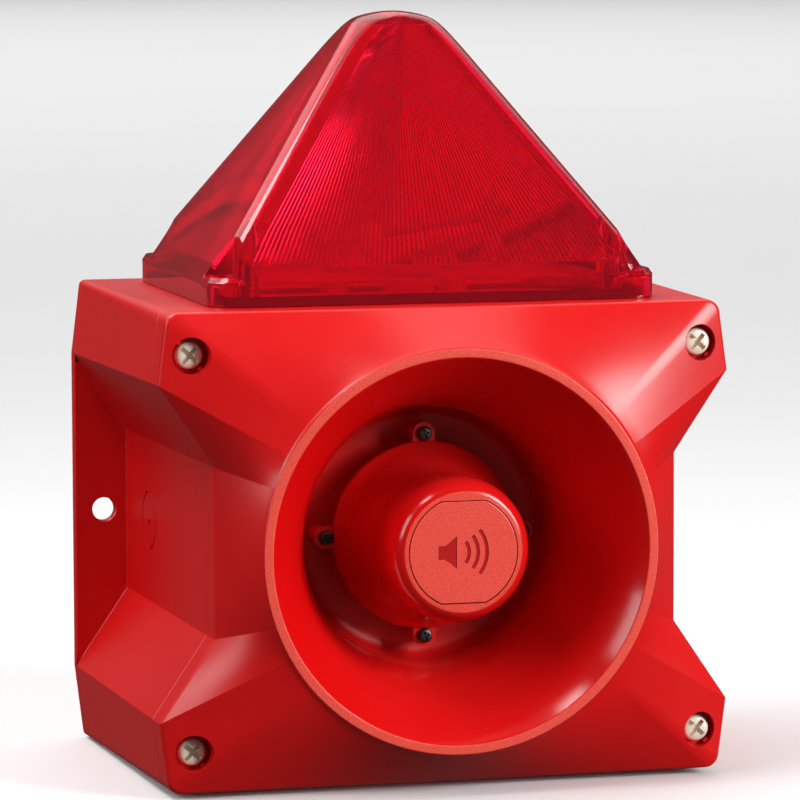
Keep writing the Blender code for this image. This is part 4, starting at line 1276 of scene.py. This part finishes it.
def softCopy(node, body, finish):
    bm = bmesh.new()
    bm.from_mesh(frame["nodes"][node].data)
    bmesh.ops.remove_doubles(bm, verts=bm.verts, dist=0.01 * millimetre)
    bmesh.ops.dissolve_limit(bm, angle_limit=math.radians(1), verts=bm.verts, edges=bm.edges)
    mesh = bpy.data.meshes.new(node)
    bm.to_mesh(mesh)
    bm.free()
    thing = sceneObject(node + "_soft", mesh)
    bevel = thing.modifiers.new("edges", "BEVEL")
    bevel.width = 0.12 * millimetre
    bevel.segments = 2
    bevel.limit_method = "ANGLE"
    bevel.angle_limit = math.radians(35)
    bevel.use_clamp_overlap = True
    rounded = evaluatedMesh(thing)
    bpy.data.objects.remove(thing)
    piece = sceneObject(node + "_soft", rounded)
    rounded.materials.clear()
    rounded.materials.append(finishes[finish])
    rounded.shade_smooth()
    rounded.set_sharp_from_angle(angle=math.radians(40))
    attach(piece, body)
    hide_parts(node)


slotOf = {part["node"]: part["material_slot"] for part in frame["record"]["subparts"]}
for body, names in frame["record"]["behaviour"]["bodies"].items():
    for node in names:
        if not frame["nodes"][node].hide_render:
            softCopy(node, body, slotOf[node])
print("inner pieces made")


# floor, lights and camera

def makeFloor():
    bm = bmesh.new()
    bmesh.ops.create_circle(bm, cap_ends=True, segments=96, radius=40.0)
    floorHeight = cadBounds[0].z - 0.0006
    for vert in bm.verts:
        vert.co.z = floorHeight
    mesh = bpy.data.meshes.new("studioFloor")
    bm.to_mesh(mesh)
    bm.free()
    floor = sceneObject("studioFloor", mesh)
    material = bpy.data.materials.new("paleFloor")
    material.use_nodes = True
    tree = material.node_tree
    shader = tree.nodes["Principled BSDF"]
    place = addNode(tree, "ShaderNodeTexCoord")
    noise = addNode(tree, "ShaderNodeTexNoise", {"Scale": 3.0, "Detail": 4.0})
    ramp = addNode(tree, "ShaderNodeMix", data_type="RGBA")
    ramp.inputs["A"].default_value = (0.88, 0.88, 0.88, 1)
    ramp.inputs["B"].default_value = (0.90, 0.90, 0.90, 1)
    tree.links.new(place.outputs["Object"], noise.inputs["Vector"])
    tree.links.new(noise.outputs["Fac"], ramp.inputs["Factor"])
    tree.links.new(ramp.outputs["Result"], shader.inputs["Base Color"])
    shader.inputs["Roughness"].default_value = 0.8
    mesh.materials.append(material)
    floor.visible_glossy = False        # so that the pale floor puts no veil on the plastic
    floor.visible_diffuse = False


def softLight(name, place, target, size, watts, colour=(1, 1, 1)):
    data = bpy.data.lights.new(name, "AREA")
    data.shape = "RECTANGLE"
    data.size, data.size_y = size
    data.energy = watts
    data.color = colour
    lamp = bpy.data.objects.new(name, data)
    lamp.location = place
    lamp.rotation_euler = (Vector(target) - Vector(place)).to_track_quat("-Z", "Y").to_euler()
    bpy.context.scene.collection.objects.link(lamp)


def makeLights():
    target = (0, -0.08, 0.05)
    softLight("upperLeft", (-0.66, -0.20, 1.22), target, (1.0, 0.3), 9)
    softLight("leftSide", (-1.70, -0.55, 0.80), target, (0.9, 0.9), 13)
    softLight("rightFront", (1.36, -1.48, 0.67), target, (0.75, 1.05), 48)
    softLight("backdrop", (0.5, 9.0, 6.0), (0.5, 9.5, 0), (16.0, 16.0), 900)
    data = bpy.data.lights.new("skyPanel", "SUN")
    data.energy = 0.6
    data.angle = math.radians(60)
    lamp = bpy.data.objects.new("skyPanel", data)
    lamp.rotation_euler = Vector((-0.25, 0.45, 0.85)).to_track_quat("Z", "Y").to_euler()
    bpy.context.scene.collection.objects.link(lamp)
    world = bpy.data.worlds.new("studioAir")
    world.use_nodes = True
    background = world.node_tree.nodes["Background"]
    background.inputs["Color"].default_value = (1.0, 0.99, 0.98, 1)
    background.inputs["Strength"].default_value = 0.08
    bpy.context.scene.world = world
    bpy.context.scene.view_settings.view_transform = "Standard"


cameraSetup = {
    "place": (-0.46102, -1.78164, 0.21952),
    "yaw": 15.145,              # degrees to the right of straight at the wall
    "pitch": 5.657,             # degrees down
    "roll": -0.192,
    "lens": 222.26,
    "sensor": 36.0,
}


def makeCamera():
    yaw, pitch, roll = (math.radians(cameraSetup[key]) for key in ("yaw", "pitch", "roll"))
    look = Vector((math.sin(yaw) * math.cos(pitch), math.cos(yaw) * math.cos(pitch), -math.sin(pitch)))
    right = Vector((math.cos(yaw), -math.sin(yaw), 0))
    above = right.cross(look)
    tiltedRight = right * math.cos(roll) + above * math.sin(roll)
    tiltedUp = above * math.cos(roll) - right * math.sin(roll)
    data = bpy.data.cameras.new("mainCamera")
    data.lens = cameraSetup["lens"]
    data.sensor_width = cameraSetup["sensor"]
    data.clip_end = 100.0
    camera = bpy.data.objects.new("mainCamera", data)
    turn = Matrix((tiltedRight, tiltedUp, -look)).transposed()
    camera.matrix_world = Matrix.Translation(cameraSetup["place"]) @ turn.to_4x4()
    bpy.context.scene.collection.objects.link(camera)
    bpy.context.scene.camera = camera


makeFloor()
makeLights()
makeCamera()
print("studio made")
